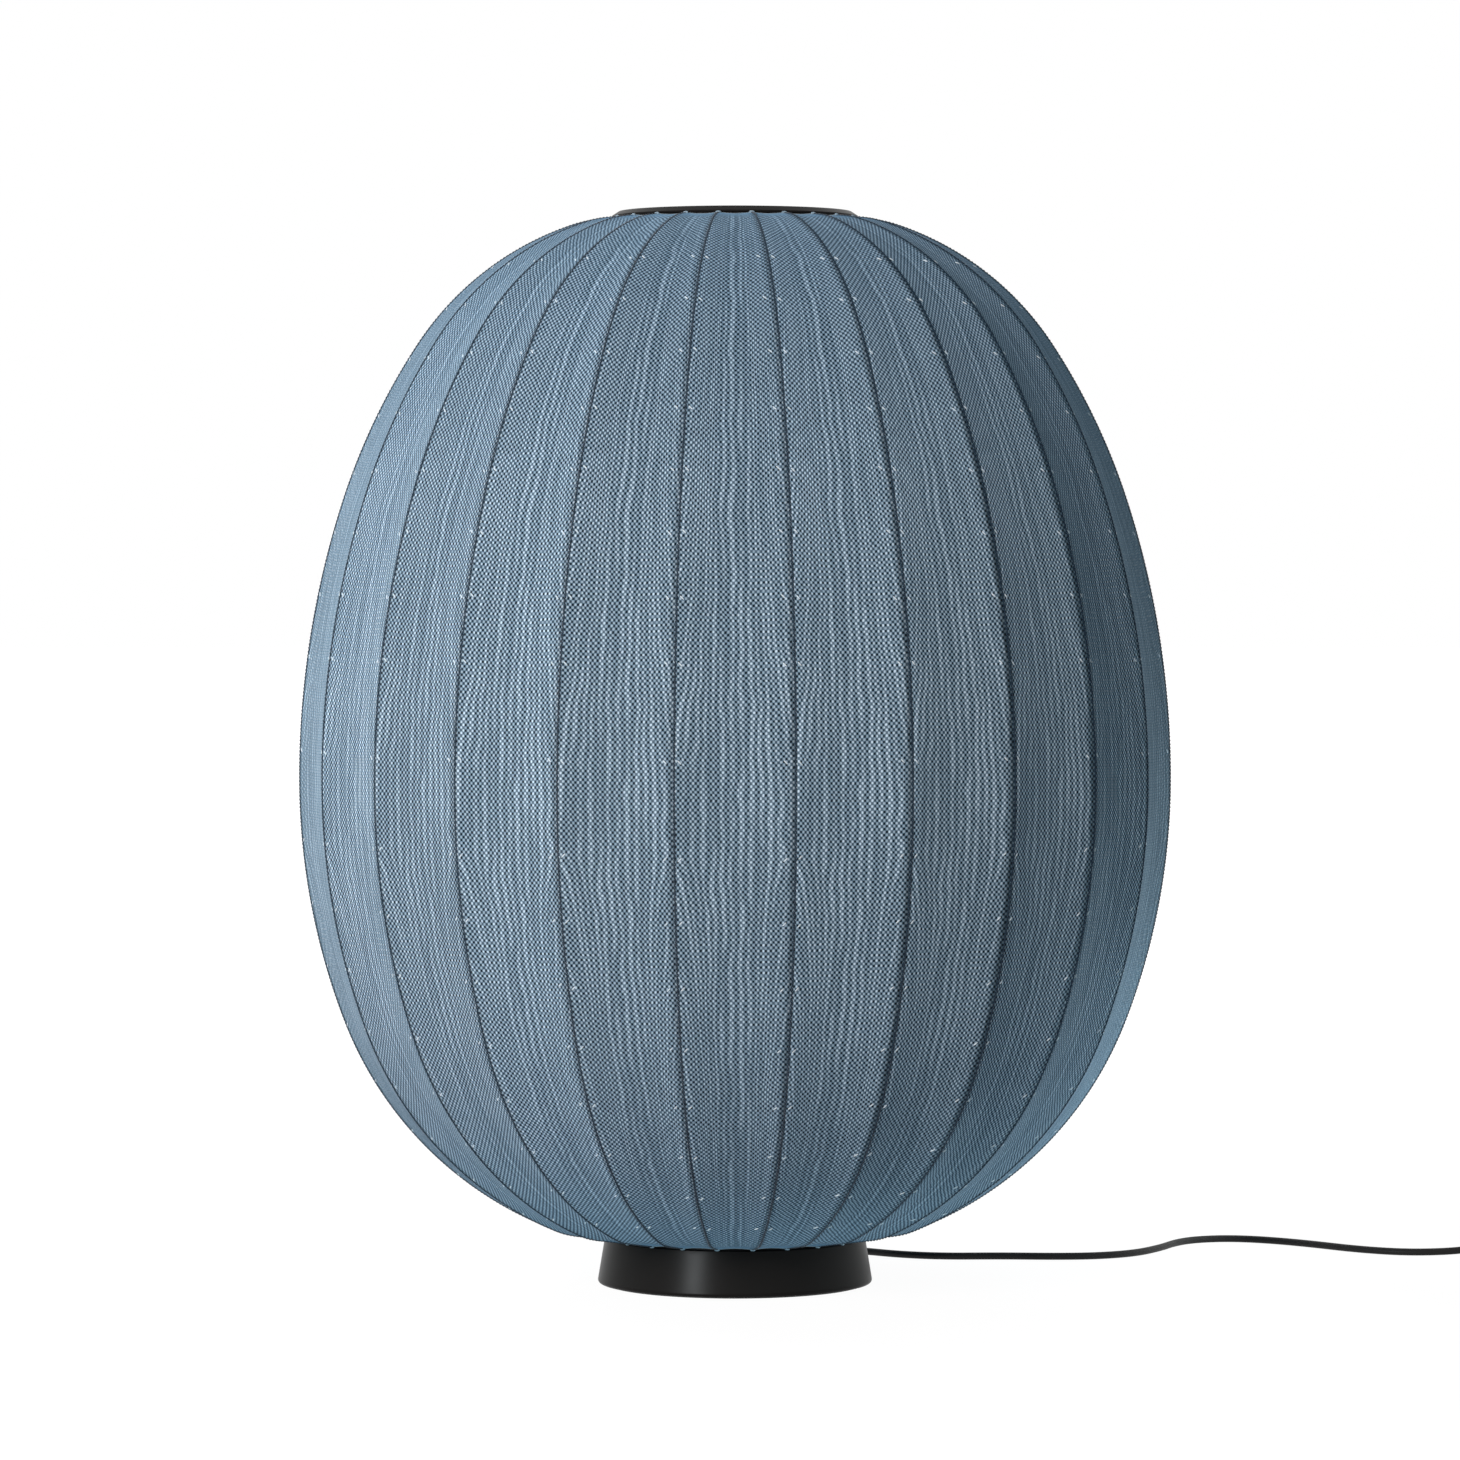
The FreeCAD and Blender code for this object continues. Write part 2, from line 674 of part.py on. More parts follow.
def holder_body():
    outer_r = HOLDER_D / 2
    inner_r = outer_r - HOLDER_WALL
    tube = ring(outer_r, inner_r, HOLDER_BODY_BOTTOM, HOLDER_BODY_BOTTOM + HOLDER_BODY_HEIGHT)
    ledge = ring(outer_r, inner_r - HOLDER_LEDGE, HOLDER_BODY_BOTTOM, INSULATOR_BOTTOM)
    return tube.fuse(ledge).removeSplitter()


def holder_insulator():
    return disc(HOLDER_D / 2 - HOLDER_WALL - FIT, INSULATOR_BOTTOM, INSULATOR_TOP)


def holder_screw_shell():
    outer_r = SCREW_SHELL_R + SCREW_SHELL_WALL
    return ring(outer_r, SCREW_SHELL_R, INSULATOR_TOP, INSULATOR_TOP + SCREW_SHELL_LENGTH)


def holder_contact():
    half = CONTACT_LEAF_WIDTH / 2
    foot_top = INSULATOR_TOP + STRIP_THICKNESS
    foot = box(vec(-2 * half, -half, INSULATOR_TOP), vec(2 * half, half, foot_top))
    post = disc(half, INSULATOR_TOP, BULB_TIP_BOTTOM)
    return foot.fuse(post).removeSplitter()


# Bulb
def bulb_cap():
    cap_r = BULB_CAP_D / 2
    return turned([
        (0, BULB_CAP_BOTTOM),
        (BULB_TIP_D / 2, BULB_CAP_BOTTOM),
        (cap_r, BULB_CAP_BOTTOM + BULB_CAP_TAPER),
        (cap_r, GLOBE_BOTTOM),
        (0, GLOBE_BOTTOM),
    ])


def globe_profile(inset):
    turn = math.radians(GLOBE_SHOULDER_DEGREES)
    globe_r = GLOBE_D / 2
    neck_r = GLOBE_NECK_D / 2
    shoulder_r = globe_r * math.cos(turn)
    run = (shoulder_r - neck_r) / math.tan(turn)
    centre_z = GLOBE_BOTTOM + GLOBE_NECK_LENGTH + run + globe_r * math.sin(turn)
    reach = globe_r - inset
    shoulder = vec(reach * math.cos(turn), 0, centre_z - reach * math.sin(turn))
    neck_z = GLOBE_BOTTOM + GLOBE_NECK_LENGTH
    neck = vec(neck_r - inset, 0, neck_z)
    bottom = vec(neck_r - inset, 0, GLOBE_BOTTOM)
    top = vec(0, 0, centre_z + reach)
    belly = vec(reach, 0, centre_z)
    edges = [
        line_edge(vec(0, 0, GLOBE_BOTTOM), bottom),
        line_edge(bottom, neck),
        line_edge(neck, shoulder),
        Part.Arc(shoulder, belly, top).toShape(),
        line_edge(top, vec(0, 0, GLOBE_BOTTOM)),
    ]
    return Part.Face(Part.Wire(edges)).revolve(ORIGIN, Z_AXIS, 360)


def bulb_globe():
    return globe_profile(0.0).cut(globe_profile(GLASS_WALL))


# Lead: a route of points, joined by straight runs and arcs as large as the runs allow
def rounded_path(points):
    edges = []
    radii = []
    last = points[0]
    for before, corner, after in zip(points, points[1:], points[2:]):
        run_in = corner.sub(before)
        run_out = after.sub(corner)
        half_turn = run_in.getAngle(run_out) / 2
        tangent = BEND_SHARE * min(run_in.Length, run_out.Length)
        radius = tangent / math.tan(half_turn)
        inward = run_in.normalize()
        outward = run_out.normalize()
        start = corner - inward * tangent
        end = corner + outward * tangent
        bisector = (outward - inward).normalize()
        middle = corner + bisector * (radius / math.cos(half_turn) - radius)
        edges.append(line_edge(last, start))
        edges.append(Part.Arc(start, middle, end).toShape())
        radii.append(radius)
        last = end
    edges.append(line_edge(last, points[-1]))
    return edges, radii


def path_length(edges):
    return sum(edge.Length for edge in edges)


def report_tube(name, edges, diameter, solid):
    length = path_length(edges)
    share = solid.Volume / (math.pi * diameter ** 2 / 4 * length)
    print(name, "length", round(length, 1), "volume over section times length", round(share, 4))


RELIEF_FLANGE_R = RELIEF_FLANGE_D / 2
FLANGE_EDGES = (CORD_EXIT_HEIGHT - RELIEF_FLANGE_R, CORD_EXIT_HEIGHT + RELIEF_FLANGE_R)
RELIEF_WALL_R = min(foot_r(height) for height in FLANGE_EDGES) - BASE_WALL
RELIEF_SEAT = math.sqrt(RELIEF_WALL_R ** 2 - RELIEF_FLANGE_R ** 2) - FIT
RELIEF_START = RELIEF_SEAT - RELIEF_FLANGE_THICKNESS
RELIEF_END = foot_r(CORD_EXIT_HEIGHT) + RELIEF_LENGTH
CORD_FLOOR_Z = CORD_D / 2 + FLOOR_GAP
CORD_ROUTE = [
    vec(0, RELIEF_END, CORD_EXIT_HEIGHT),
    vec(0, RELIEF_END + 20, CORD_EXIT_HEIGHT),
    vec(4, 175, 8.0),
    vec(20, 195, 4.5),
    vec(46, 204, CORD_FLOOR_Z),
    vec(75, 202, CORD_FLOOR_Z),
    vec(101, 186, CORD_FLOOR_Z),
    vec(126, 164, CORD_FLOOR_Z),
    vec(160, 150, CORD_FLOOR_Z),
    vec(205, 153, CORD_FLOOR_Z),
    vec(250, 149, CORD_FLOOR_Z),
    vec(282, 153, CORD_FLOOR_Z),
    vec(312, 172, CORD_FLOOR_Z),
    vec(334, 209, CORD_FLOOR_Z),
    vec(348, 245, CORD_FLOOR_Z),
    vec(366, 267, CORD_FLOOR_Z),
    vec(393, 275, CORD_FLOOR_Z),
    vec(421, 264, CORD_FLOOR_Z),
    vec(452, 238, CORD_FLOOR_Z),
    vec(487, 198, CORD_FLOOR_Z),
    vec(522, 177, CORD_FLOOR_Z),
    vec(556, 176, 3.6),
    vec(580, SWITCH_START[1], SWITCH_CORD_HEIGHT),
    vec(SWITCH_START[0] + SWITCH_WALL, SWITCH_START[1], SWITCH_CORD_HEIGHT),
]


def cord_lead():
    edges, radii = rounded_path(CORD_ROUTE)
    print("lead bend radii", [round(radius) for radius in radii])
    tube = sweep(edges, CORD_D / 2)
    report_tube("cord_lead", edges, CORD_D, tube)
    return tube


def strain_relief():
    along = vec(0, 1, 0)
    start = vec(0, RELIEF_START, CORD_EXIT_HEIGHT)
    flange = Part.makeCylinder(RELIEF_FLANGE_R, RELIEF_FLANGE_THICKNESS, start, along)
    sleeve_length = max(foot_r(height) for height in FLANGE_EDGES) - RELIEF_START
    sleeve = Part.makeCylinder(RELIEF_D / 2, sleeve_length, start, along)
    taper_start = vec(0, RELIEF_START + sleeve_length, CORD_EXIT_HEIGHT)
    taper_length = RELIEF_END - taper_start.y
    taper = Part.makeCone(RELIEF_D / 2, RELIEF_TIP_D / 2, taper_length, taper_start, along)
    bore = Part.makeCylinder(CORD_D / 2 + FIT, RELIEF_END - RELIEF_START, start, along)
    body = flange.fuse([sleeve, taper]).removeSplitter()
    return body.cut(bore)


CORD_ENTRY_START = CLAMP_FROM_AXIS - CLAMP_DEPTH


def cord_entry():
    start = vec(0, CORD_ENTRY_START, CORD_EXIT_HEIGHT)
    return Part.makeCylinder(CORD_D / 2, RELIEF_END - CORD_ENTRY_START, start, vec(0, 1, 0))


def inner_leads():
    leads = []
    for side in (-1, 1):
        x = side * LEAD_SPACING / 2
        points = [
            vec(x, CORD_ENTRY_START, CORD_EXIT_HEIGHT),
            vec(x, CORD_ENTRY_START - LEAD_STRAIGHT, CORD_EXIT_HEIGHT),
            vec(x, CORD_ENTRY_START - LEAD_DROP, LEAD_HEIGHT + LEAD_D / 2),
            vec(x, LEAD_TURN, LEAD_HEIGHT),
            vec(x, 0, LEAD_HEIGHT - FIT),
            vec(x, 0, INSULATOR_BOTTOM),
        ]
        edges, _ = rounded_path(points)
        leads.append(sweep(edges, LEAD_D / 2))
    return Part.makeCompound(leads)


# Foot switch
SWITCH_X = SWITCH_START[0] + SWITCH_LENGTH / 2
SWITCH_Y = SWITCH_START[1]
SWITCH_END_X = SWITCH_START[0] + SWITCH_LENGTH
COVER_INSIDE = SWITCH_HEIGHT - SWITCH_WALL
FLANGE_TOP = COVER_INSIDE - BUTTON_CLEARANCE
BUTTON_TOP = SWITCH_HEIGHT + BUTTON_PROUD
BUTTON_BOTTOM = BUTTON_TOP - BUTTON_HEIGHT


def switch_block(inset, bottom, top):
    half_length = SWITCH_LENGTH / 2 - inset
    half_width = SWITCH_WIDTH / 2 - inset
    block = box(vec(-half_length, -half_width, bottom), vec(half_length, half_width, top))
    uprights = [edge for edge in block.Edges if abs(edge.tangentAt(0).z) > 0.5]
    return block.makeFillet(SWITCH_CORNER_R - inset, uprights)


def switch_cord_hole():
    radius = CORD_D / 2 + SOCKET_CLEARANCE
    start = vec(-SWITCH_LENGTH / 2, 0, SWITCH_CORD_HEIGHT)
    return Part.makeCylinder(radius, SWITCH_LENGTH, start, vec(1, 0, 0))


SWITCH_POST_R = SMALL_SCREW_HEAD_D / 2 + SWITCH_WALL
SWITCH_POST_Y = SWITCH_WIDTH / 2 - SWITCH_WALL / 2 - SWITCH_POST_R


def at_switch_posts(shape):
    posts = []
    for side in (-1, 1):
        posts.append(moved(shape, side * SWITCH_SCREW_FROM_CENTRE, side * SWITCH_POST_Y))
    return posts


def switch_base():
    tray = switch_block(0, 0, SWITCH_CORD_HEIGHT)
    tray = tray.cut(switch_block(SWITCH_WALL, SWITCH_WALL, SWITCH_CORD_HEIGHT))
    pin = disc(SPRING_PIN_D / 2, 0, SWITCH_WALL + SPRING_PIN_HEIGHT)
    post = disc(SWITCH_POST_R, 0, SWITCH_CORD_HEIGHT)
    tray = tray.fuse([pin] + at_switch_posts(post)).removeSplitter()
    shank = disc(SMALL_SCREW_D / 2 + FIT, 0, SWITCH_CORD_HEIGHT)
    head = disc(SMALL_SCREW_HEAD_D / 2 + FIT, 0, SWITCH_WALL + SMALL_SCREW_HEAD_HEIGHT)
    holes = at_switch_posts(shank) + at_switch_posts(head) + [switch_cord_hole()]
    return moved(tray.cut(Part.makeCompound(holes)), SWITCH_X, SWITCH_Y)


def switch_cover():
    cover = switch_block(0, SWITCH_CORD_HEIGHT, SWITCH_HEIGHT)
    cover = cover.makeFillet(SWITCH_TOP_ROUND, level_edges(cover, SWITCH_HEIGHT))
    cover = cover.cut(switch_block(SWITCH_WALL, SWITCH_CORD_HEIGHT, COVER_INSIDE))
    post = disc(SWITCH_POST_R, SWITCH_CORD_HEIGHT, COVER_INSIDE)
    cover = cover.fuse(at_switch_posts(post)).removeSplitter()
    hole = disc(SMALL_SCREW_D / 2 + FIT, SWITCH_CORD_HEIGHT, COVER_INSIDE - SWITCH_WALL)
    button_hole = disc(BUTTON_D / 2 + BUTTON_CLEARANCE, COVER_INSIDE, SWITCH_HEIGHT)
    holes = at_switch_posts(hole) + [button_hole, switch_cord_hole()]
    return moved(cover.cut(Part.makeCompound(holes)), SWITCH_X, SWITCH_Y)


def switch_button():
    button = disc(BUTTON_D / 2, BUTTON_BOTTOM, BUTTON_TOP)
    flange_bottom = FLANGE_TOP - BUTTON_FLANGE_THICKNESS
    flange = disc(BUTTON_D / 2 + BUTTON_FLANGE, flange_bottom, FLANGE_TOP)
    body = button.fuse(flange).removeSplitter()
    return moved(rounded_rims(body, BUTTON_D / 2, BUTTON_TOP, BUTTON_ROUND), SWITCH_X, SWITCH_Y)


def switch_contacts():
    low = vec(-STRIP_THICKNESS / 2, -STRIP_WIDTH / 2, SWITCH_WALL)
    high = vec(STRIP_THICKNESS / 2, STRIP_WIDTH / 2, SWITCH_WALL + STRIP_HEIGHT)
    strip = box(low, high)
    strips = []
    for side in (-1, 1):
        strips.append(moved(strip, SWITCH_X + side * STRIP_FROM_CENTRE, SWITCH_Y))
    return Part.makeCompound(strips)


def switch_screws():
    one = screw(SMALL_SCREW_D, SMALL_SCREW_HEAD_D, SMALL_SCREW_HEAD_HEIGHT,
                SWITCH_WALL, COVER_INSIDE - 2 * SWITCH_WALL)
    return Part.makeCompound([moved(each, SWITCH_X, SWITCH_Y) for each in at_switch_posts(one)])


# Turns: pairs of arcs that meet each point in its own direction
def arc_from(start, direction, end):
    chord = end.sub(start)
    sideways = chord - direction * chord.dot(direction)
    if sideways.Length < 1e-7:
        return line_edge(start, end)
    sideways.normalize()
    radius = chord.Length ** 2 / (2 * chord.dot(sideways))
    centre = start + sideways * radius
    middle = ((start - centre) + (end - centre)).normalize() * radius + centre
    return Part.Arc(start, middle, end).toShape()


def arc_pair(start, leaving, end, arriving):
    chord = end.sub(start)
    both = leaving + arriving
    spread = 2 * (1 - leaving.dot(arriving))
    along = chord.dot(both)
    if spread < 1e-9:
        reach = chord.dot(chord) / (2 * along)
    else:
        reach = (math.sqrt(along ** 2 + spread * chord.dot(chord)) - along) / spread
    joint = (start + end + (leaving - arriving) * reach) * 0.5
    first = arc_from(start, leaving, joint)
    back = arc_from(end, arriving * -1, joint)
    stops = back.ParameterRange
    if isinstance(back.Curve, Part.Circle):
        middle = back.valueAt((stops[0] + stops[1]) / 2)
        return [first, Part.Arc(joint, middle, end).toShape()]
    return [first, line_edge(joint, end)]


def pair_path(stops):
    edges = []
    for (start, leaving), (end, arriving) in zip(stops, stops[1:]):
        edges += arc_pair(start, leaving, end, arriving)
    return edges


def switch_spring():
    bottom = SWITCH_WALL + SPRING_WIRE_D / 2 + FIT
    rise = BUTTON_BOTTOM - SWITCH_WALL - SPRING_WIRE_D - 2 * FIT
    mean_r = SPRING_D / 2
    stops = []
    for quarter in range(4 * SPRING_TURNS + 1):
        turn = math.radians(90 * quarter)
        climb = rise / SPRING_TURNS / (2 * math.pi)
        place = vec(mean_r * math.cos(turn), mean_r * math.sin(turn), bottom + climb * turn)
        heading = vec(-mean_r * math.sin(turn), mean_r * math.cos(turn), climb).normalize()
        stops.append((place, heading))
    edges = pair_path(stops)
    return moved(sweep(edges, SPRING_WIRE_D / 2), SWITCH_X, SWITCH_Y)


# Coil of the spare lead: it spirals in on the floor, climbs a layer and spirals out again
COIL_PITCH = CORD_D + COIL_GAP
COIL_LOW_Z = TIE_THICKNESS + TIE_GAP + CORD_D / 2
COIL_HIGH_Z = COIL_LOW_Z + COIL_PITCH
COIL_OUTER_R = COIL_INNER_R + COIL_PITCH * COIL_TURNS / 2
COIL_X = SWITCH_END_X + COIL_LEAD_IN
COIL_Y = SWITCH_Y + COIL_OUTER_R


def coil_stop(quarter):
    turns = quarter / 4 - COIL_TURNS / 2
    turn = math.radians(90 * quarter - 90)
    radius = COIL_INNER_R + COIL_PITCH * abs(turns)
    outward = vec(math.cos(turn), math.sin(turn), 0)
    onward = vec(-math.sin(turn), math.cos(turn), 0)
    share = min(max(2 * turns + 0.5, 0.0), 1.0)
    height = COIL_LOW_Z + COIL_PITCH * share * share * (3 - 2 * share)
    climb = COIL_PITCH * 12 * share * (1 - share)
    widening = math.copysign(COIL_PITCH, turns) if abs(turns) > 0.1 else 0.0
    heading = onward * (2 * math.pi * radius) + outward * widening + Z_AXIS * climb
    place = vec(COIL_X, COIL_Y, height) + outward * radius
    return place, heading.normalize()


def coil_path():
    along = vec(1, 0, 0)
    turns = [coil_stop(quarter) for quarter in range(int(4 * COIL_TURNS) + 1)]
    start = vec(SWITCH_END_X - SWITCH_WALL, SWITCH_Y, SWITCH_CORD_HEIGHT)
    straight = start + along * (CORD_D + SWITCH_WALL)
    last_turn = turns[-1][0]
    plug_end = vec(last_turn.x - COIL_LEAD_OUT, last_turn.y + COIL_GAP, COIL_HIGH_Z)
    slack = plug_end + along * CORD_D
    inner = pair_path([(straight, along)] + turns + [(slack, along * -1)])
    return [line_edge(start, straight)] + inner + [line_edge(slack, plug_end)], plug_end


def least_gap(edges, diameter):
    points = Part.Wire(edges).discretize(Distance=diameter / 2)
    skip = 6
    least = min(
        point.distanceToPoint(other)
        for index, point in enumerate(points)
        for other in points[index + skip:])
    return least - diameter


def cord_coil():
    edges, plug_end = coil_path()
    tube = sweep(edges, CORD_D / 2)
    report_tube("cord_coil", edges, CORD_D, tube)
    print("coil least gap to itself", round(least_gap(edges, CORD_D), 2))
    return tube, plug_end


def cord_tie():
    low_r = COIL_INNER_R - CORD_D / 2 - TIE_INSIDE_GAP
    high_r = COIL_OUTER_R + CORD_D / 2 + TIE_GAP
    top = COIL_HIGH_Z + CORD_D / 2 + TIE_GAP
    half = TIE_WIDTH / 2
    outer_low = vec(low_r - TIE_THICKNESS, -half, 0)
    outer_high = vec(high_r + TIE_THICKNESS, half, top + TIE_THICKNESS)
    outside = box(outer_low, outer_high)
    inside = box(vec(low_r, -half, TIE_THICKNESS), vec(high_r, half, top))
    uprights = [edge for edge in outside.Edges if abs(edge.tangentAt(0).y) > 0.5]
    band = outside.makeFillet(TIE_THICKNESS, uprights).cut(inside)
    return moved(band, COIL_X, COIL_Y)


def plug_shapes(plug_end):
    along = vec(-1, 0, 0)
    relief = Part.makeCone(PLUG_RELIEF_TIP_D / 2, PLUG_RELIEF_D / 2, PLUG_RELIEF_LENGTH, plug_end, along)
    back_x = plug_end.x - PLUG_RELIEF_LENGTH
    half_width = PLUG_WIDTH / 2
    half_height = plug_end.z
    low = vec(back_x - PLUG_LENGTH, plug_end.y - half_width, 0)
    high = vec(back_x, plug_end.y + half_width, 2 * half_height)
    block = box(low, high)
    block = block.makeFillet(PLUG_ROUND, block.Edges)
    body = block.fuse(relief).removeSplitter()
    pins = []
    bores = []
    for side in (-1, 1):
        root = vec(back_x - PLUG_LENGTH + PIN_ROOT, plug_end.y + side * PIN_SPACING / 2, plug_end.z)
        pin = Part.makeCylinder(PIN_D / 2, PIN_ROOT + PIN_LENGTH, root, along)
        tip_x = root.x - PIN_ROOT - PIN_LENGTH
        tip = [edge for edge in pin.Edges if abs(edge.BoundBox.XMax - tip_x) < FIT]
        pins.append(pin.makeFillet(PIN_TIP_ROUND, tip))
        bores.append(Part.makeCylinder(PIN_D / 2 + FIT, PIN_ROOT, root, along))
    return body.cut(Part.makeCompound(bores)), Part.makeCompound(pins)


def save_ribs():
    one = rib()
    half = RIB_COUNT // 2
    for index in range(half):
        pair = [turned_to(one, RIB_ANGLES[index]), turned_to(one, RIB_ANGLES[index + half])]
        save("rib_pair_%02d" % (index + 1), Part.makeCompound(pair))


def save_shade():
    save("knit_shade", knit_shade())
    tunnel = casing()
    save("rib_casings", Part.makeCompound([turned_to(tunnel, angle) for angle in RIB_ANGLES]))
    save("lower_rib_ring", lower_rib_ring())
    save("lower_ring_screws", ring_screws())
    save("upper_rib_ring", upper_rib_ring())
    save("top_cap", top_cap())
    save_ribs()


def save_foot():
    save("floor_pad", floor_pad())
    save("base_plate", base_plate())
    save("base_plate_screws", plate_screws())
    save("base_shell", base_shell())
    save("ballast_weight", ballast_weight())
    save("cord_clamp", cord_clamp())
    save("cord_clamp_screws", clamp_screws())
    save("strain_relief", strain_relief())
    save("cord_entry", cord_entry())
    save("inner_leads", inner_leads())


def save_stem():
    save("stem_nut", stem_nut())
    save("stem_washer", ring(WASHER_D / 2, ROD_D / 2 + FIT, WASHER_BOTTOM, BALLAST_BOTTOM))
    save("stem_rod", ring(ROD_D / 2, ROD_BORE_D / 2, ROD_BOTTOM, ROD_TOP))
    save("stem_tube", ring(STEM_D / 2, ROD_D / 2 + FIT, BASE_HEIGHT, HOLDER_BOTTOM))
    save("holder_cap", holder_cap())
    save("holder_body", holder_body())
    save("holder_insulator", holder_insulator())
    save("holder_screw_shell", holder_screw_shell())
    save("holder_contact", holder_contact())
    save("bulb_contact", disc(BULB_TIP_D / 2, BULB_TIP_BOTTOM, BULB_CAP_BOTTOM))
    save("bulb_cap", bulb_cap())
    save("bulb_globe", bulb_globe())


def save_cord():
    save("cord_lead", cord_lead())
    save("switch_base", switch_base())
    save("switch_cover", switch_cover())
    save("switch_button", switch_button())
    save("switch_spring", switch_spring())
    save("switch_contacts", switch_contacts())
    save("switch_screws", switch_screws())
    coil, plug_end = cord_coil()
    save("cord_coil", coil)
    save("cord_tie", cord_tie())
    body, pins = plug_shapes(plug_end)
    save("plug_body", body)
    save("plug_pins", pins)


os.makedirs("parts", exist_ok=True)
save_foot()
save_stem()
save_shade()
save_cord()
print("belly height", round(BELLY_Z, 1), "upper hem", round(UPPER_HEM_Z, 1), "top", round(CAP_TOP, 1))
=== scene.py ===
import math

import bpy
import numpy as np
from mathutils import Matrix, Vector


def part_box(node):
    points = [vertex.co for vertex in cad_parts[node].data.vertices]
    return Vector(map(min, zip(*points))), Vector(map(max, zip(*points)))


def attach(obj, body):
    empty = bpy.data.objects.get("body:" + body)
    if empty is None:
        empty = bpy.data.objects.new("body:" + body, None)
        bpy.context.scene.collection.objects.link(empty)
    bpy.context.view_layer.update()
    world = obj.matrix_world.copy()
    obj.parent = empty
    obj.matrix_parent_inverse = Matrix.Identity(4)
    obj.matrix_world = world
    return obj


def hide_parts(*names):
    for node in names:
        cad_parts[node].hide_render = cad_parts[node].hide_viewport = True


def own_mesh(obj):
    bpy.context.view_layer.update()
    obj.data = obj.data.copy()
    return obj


# Knitted shade floor lamp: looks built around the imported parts. Metres, same frame as the parts.
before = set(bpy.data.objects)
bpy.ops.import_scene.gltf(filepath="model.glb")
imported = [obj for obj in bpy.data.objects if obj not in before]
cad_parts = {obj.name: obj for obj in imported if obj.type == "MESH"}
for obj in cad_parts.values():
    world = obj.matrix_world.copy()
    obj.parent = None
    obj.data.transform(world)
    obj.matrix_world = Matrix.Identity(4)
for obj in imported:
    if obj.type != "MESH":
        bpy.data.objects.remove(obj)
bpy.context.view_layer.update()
ROOT = "lamp"
RNG = np.random.default_rng(7)
MM = 1000

# Photograph and camera
PHOTO_WIDTH = 1460
SENSOR_WIDTH = 36.0
FOCAL_PIXELS = 6149
EYE_LEVEL_ROW = 551
AXIS_COLUMN = 735
CAMERA_DISTANCE = 4.6
CAMERA_HEIGHT = 0.549

# Lights: name, azimuth from the camera to the right, elevation, distance, size, power and colour
LIGHT_TARGET = (0.0, 0.0, 0.42)
LIGHTS = (
    ("key", -25.0, 18.0, 2.8, (0.7, 1.0), 87.0, (1.0, 0.83, 0.76)),
    ("left_back", -125.0, 32.0, 2.8, (1.4, 1.4), 80.0, (0.9, 0.97, 1.0)),
    ("left_side", -95.0, 0.0, 2.8, (1.0, 0.7), 21.0, (0.85, 0.95, 1.0)),
    ("right_top", 125.0, 58.0, 2.8, (1.2, 1.2), 28.0, (0.9, 0.97, 1.0)),
    ("right_low", 105.0, -38.0, 0.62, (0.6, 0.08), 1.9, (0.92, 1.0, 1.0)),
    ("foot_bounce", 90.0, -90.0, 0.416, (0.5, 0.5), 0.56, (0.82, 1.0, 1.0)),
)
GLINT = ("glint", -34.0, -8.0, 1.2, (0.17, 0.21), 11.0, (0.92, 0.97, 1.0))
WORLD_COLOUR = (0.82, 0.98, 1.0)
WORLD_STRENGTH = 0.14

# Floor, which glows white to the camera and keeps a share of its shadow near the lamp
FLOOR_HALF = 30.0
FLOOR_COLOUR = (0.3, 0.3, 0.31)
FLOOR_GLOW = 1.12
GLOW_DISTANCES = (0.5, 1.6)
GLOW_SHARES = (0.86, 1.0)

# Shade, measured on the outer face of the knit over a rib
RIB_COUNT = 24
HALF_STEP = math.pi / RIB_COUNT
BELLY_R = 0.3255
UPPER_ARCS = ((0.670, 17.9), (0.482, 15.4), (0.224, 38.7), (0.080, 12.0))
LOWER_ARCS = ((0.505, 20.8), (0.275, 46.1), (0.062, 14.1))
UPPER_HEM_R = 0.092
LOWER_HEM_R = 0.098
LOWER_HEM_Z = 0.0361
KNIT_THICKNESS = 0.0012
PANEL_SAG = 0.036
SAG_SPREAD = 0.08
ROW_STEP = 0.005
GORE_COLUMNS = 13
RIB_INSET = 0.00455

# Stitches
WALE = 0.0035
COURSE = 0.0041
COURSE_BOW = 0.3
GRAIN = 0.0068
GRAIN_LINES_PER_MARK = 2.0
GRAIN_STRAIGHT_SHARE = 0.25
TONE_SPREAD = 0.04
# Painted shade: how much darker the gores are made towards both hems, where they narrow
PAINTED_HEM_SHADE = 0.46
LOOSE_SCALE = 0.35
LOOSE_SHIFT = 0.5
STITCH_EDGE = 0.5
DRIFT_SCALE = 0.14
DRIFT_STRETCH = 0.7
DRIFT_SHIFT = 1.3
FADE_SCALE = 0.8
FADE_STRETCH = 0.05
FADE_RANGE = (0.35, 0.62)
FADE_SHARES = (0.4, 1.0)
HOLES_BY_STREAK = (1.0, 0.36)
LOOPS_BY_STREAK = (0.4, 0.97)
THREAD_SCALE = 0.9
THREAD_STRETCH = 0.06
THREAD_PALE_RANGE = (0.2, 1.0)
THREAD_PALE_SHARE = 0.45
LINE_BREAK_SCALE = 0.11
LINE_BREAK_RANGE = (0.4, 0.62)
STITCH_HEIGHT = 0.0003

# Knit colours
YARN_DARK = (0.058, 0.125, 0.19)
YARN_LIGHT = (0.1, 0.195, 0.285)
YARN_PALE = (0.195, 0.302, 0.405)
LOOP_COLOUR = (0.545, 0.715, 0.85)
HOLE_COLOUR = (0.003, 0.009, 0.016)
# Doubled knit of the hems, painted paler and bluer as painted light on them
DOUBLED_PAINTED_LIGHT_COLOUR = (0.18, 0.325, 0.46)
# Painted shade: bluer and darker where the gores narrow towards the hems
NARROW_END_SHADE_TINT = (0.63, 0.83, 1.0)
# Painted shade along the seams: the share of colour kept there
PAINTED_SEAM_SHADE = 0.75

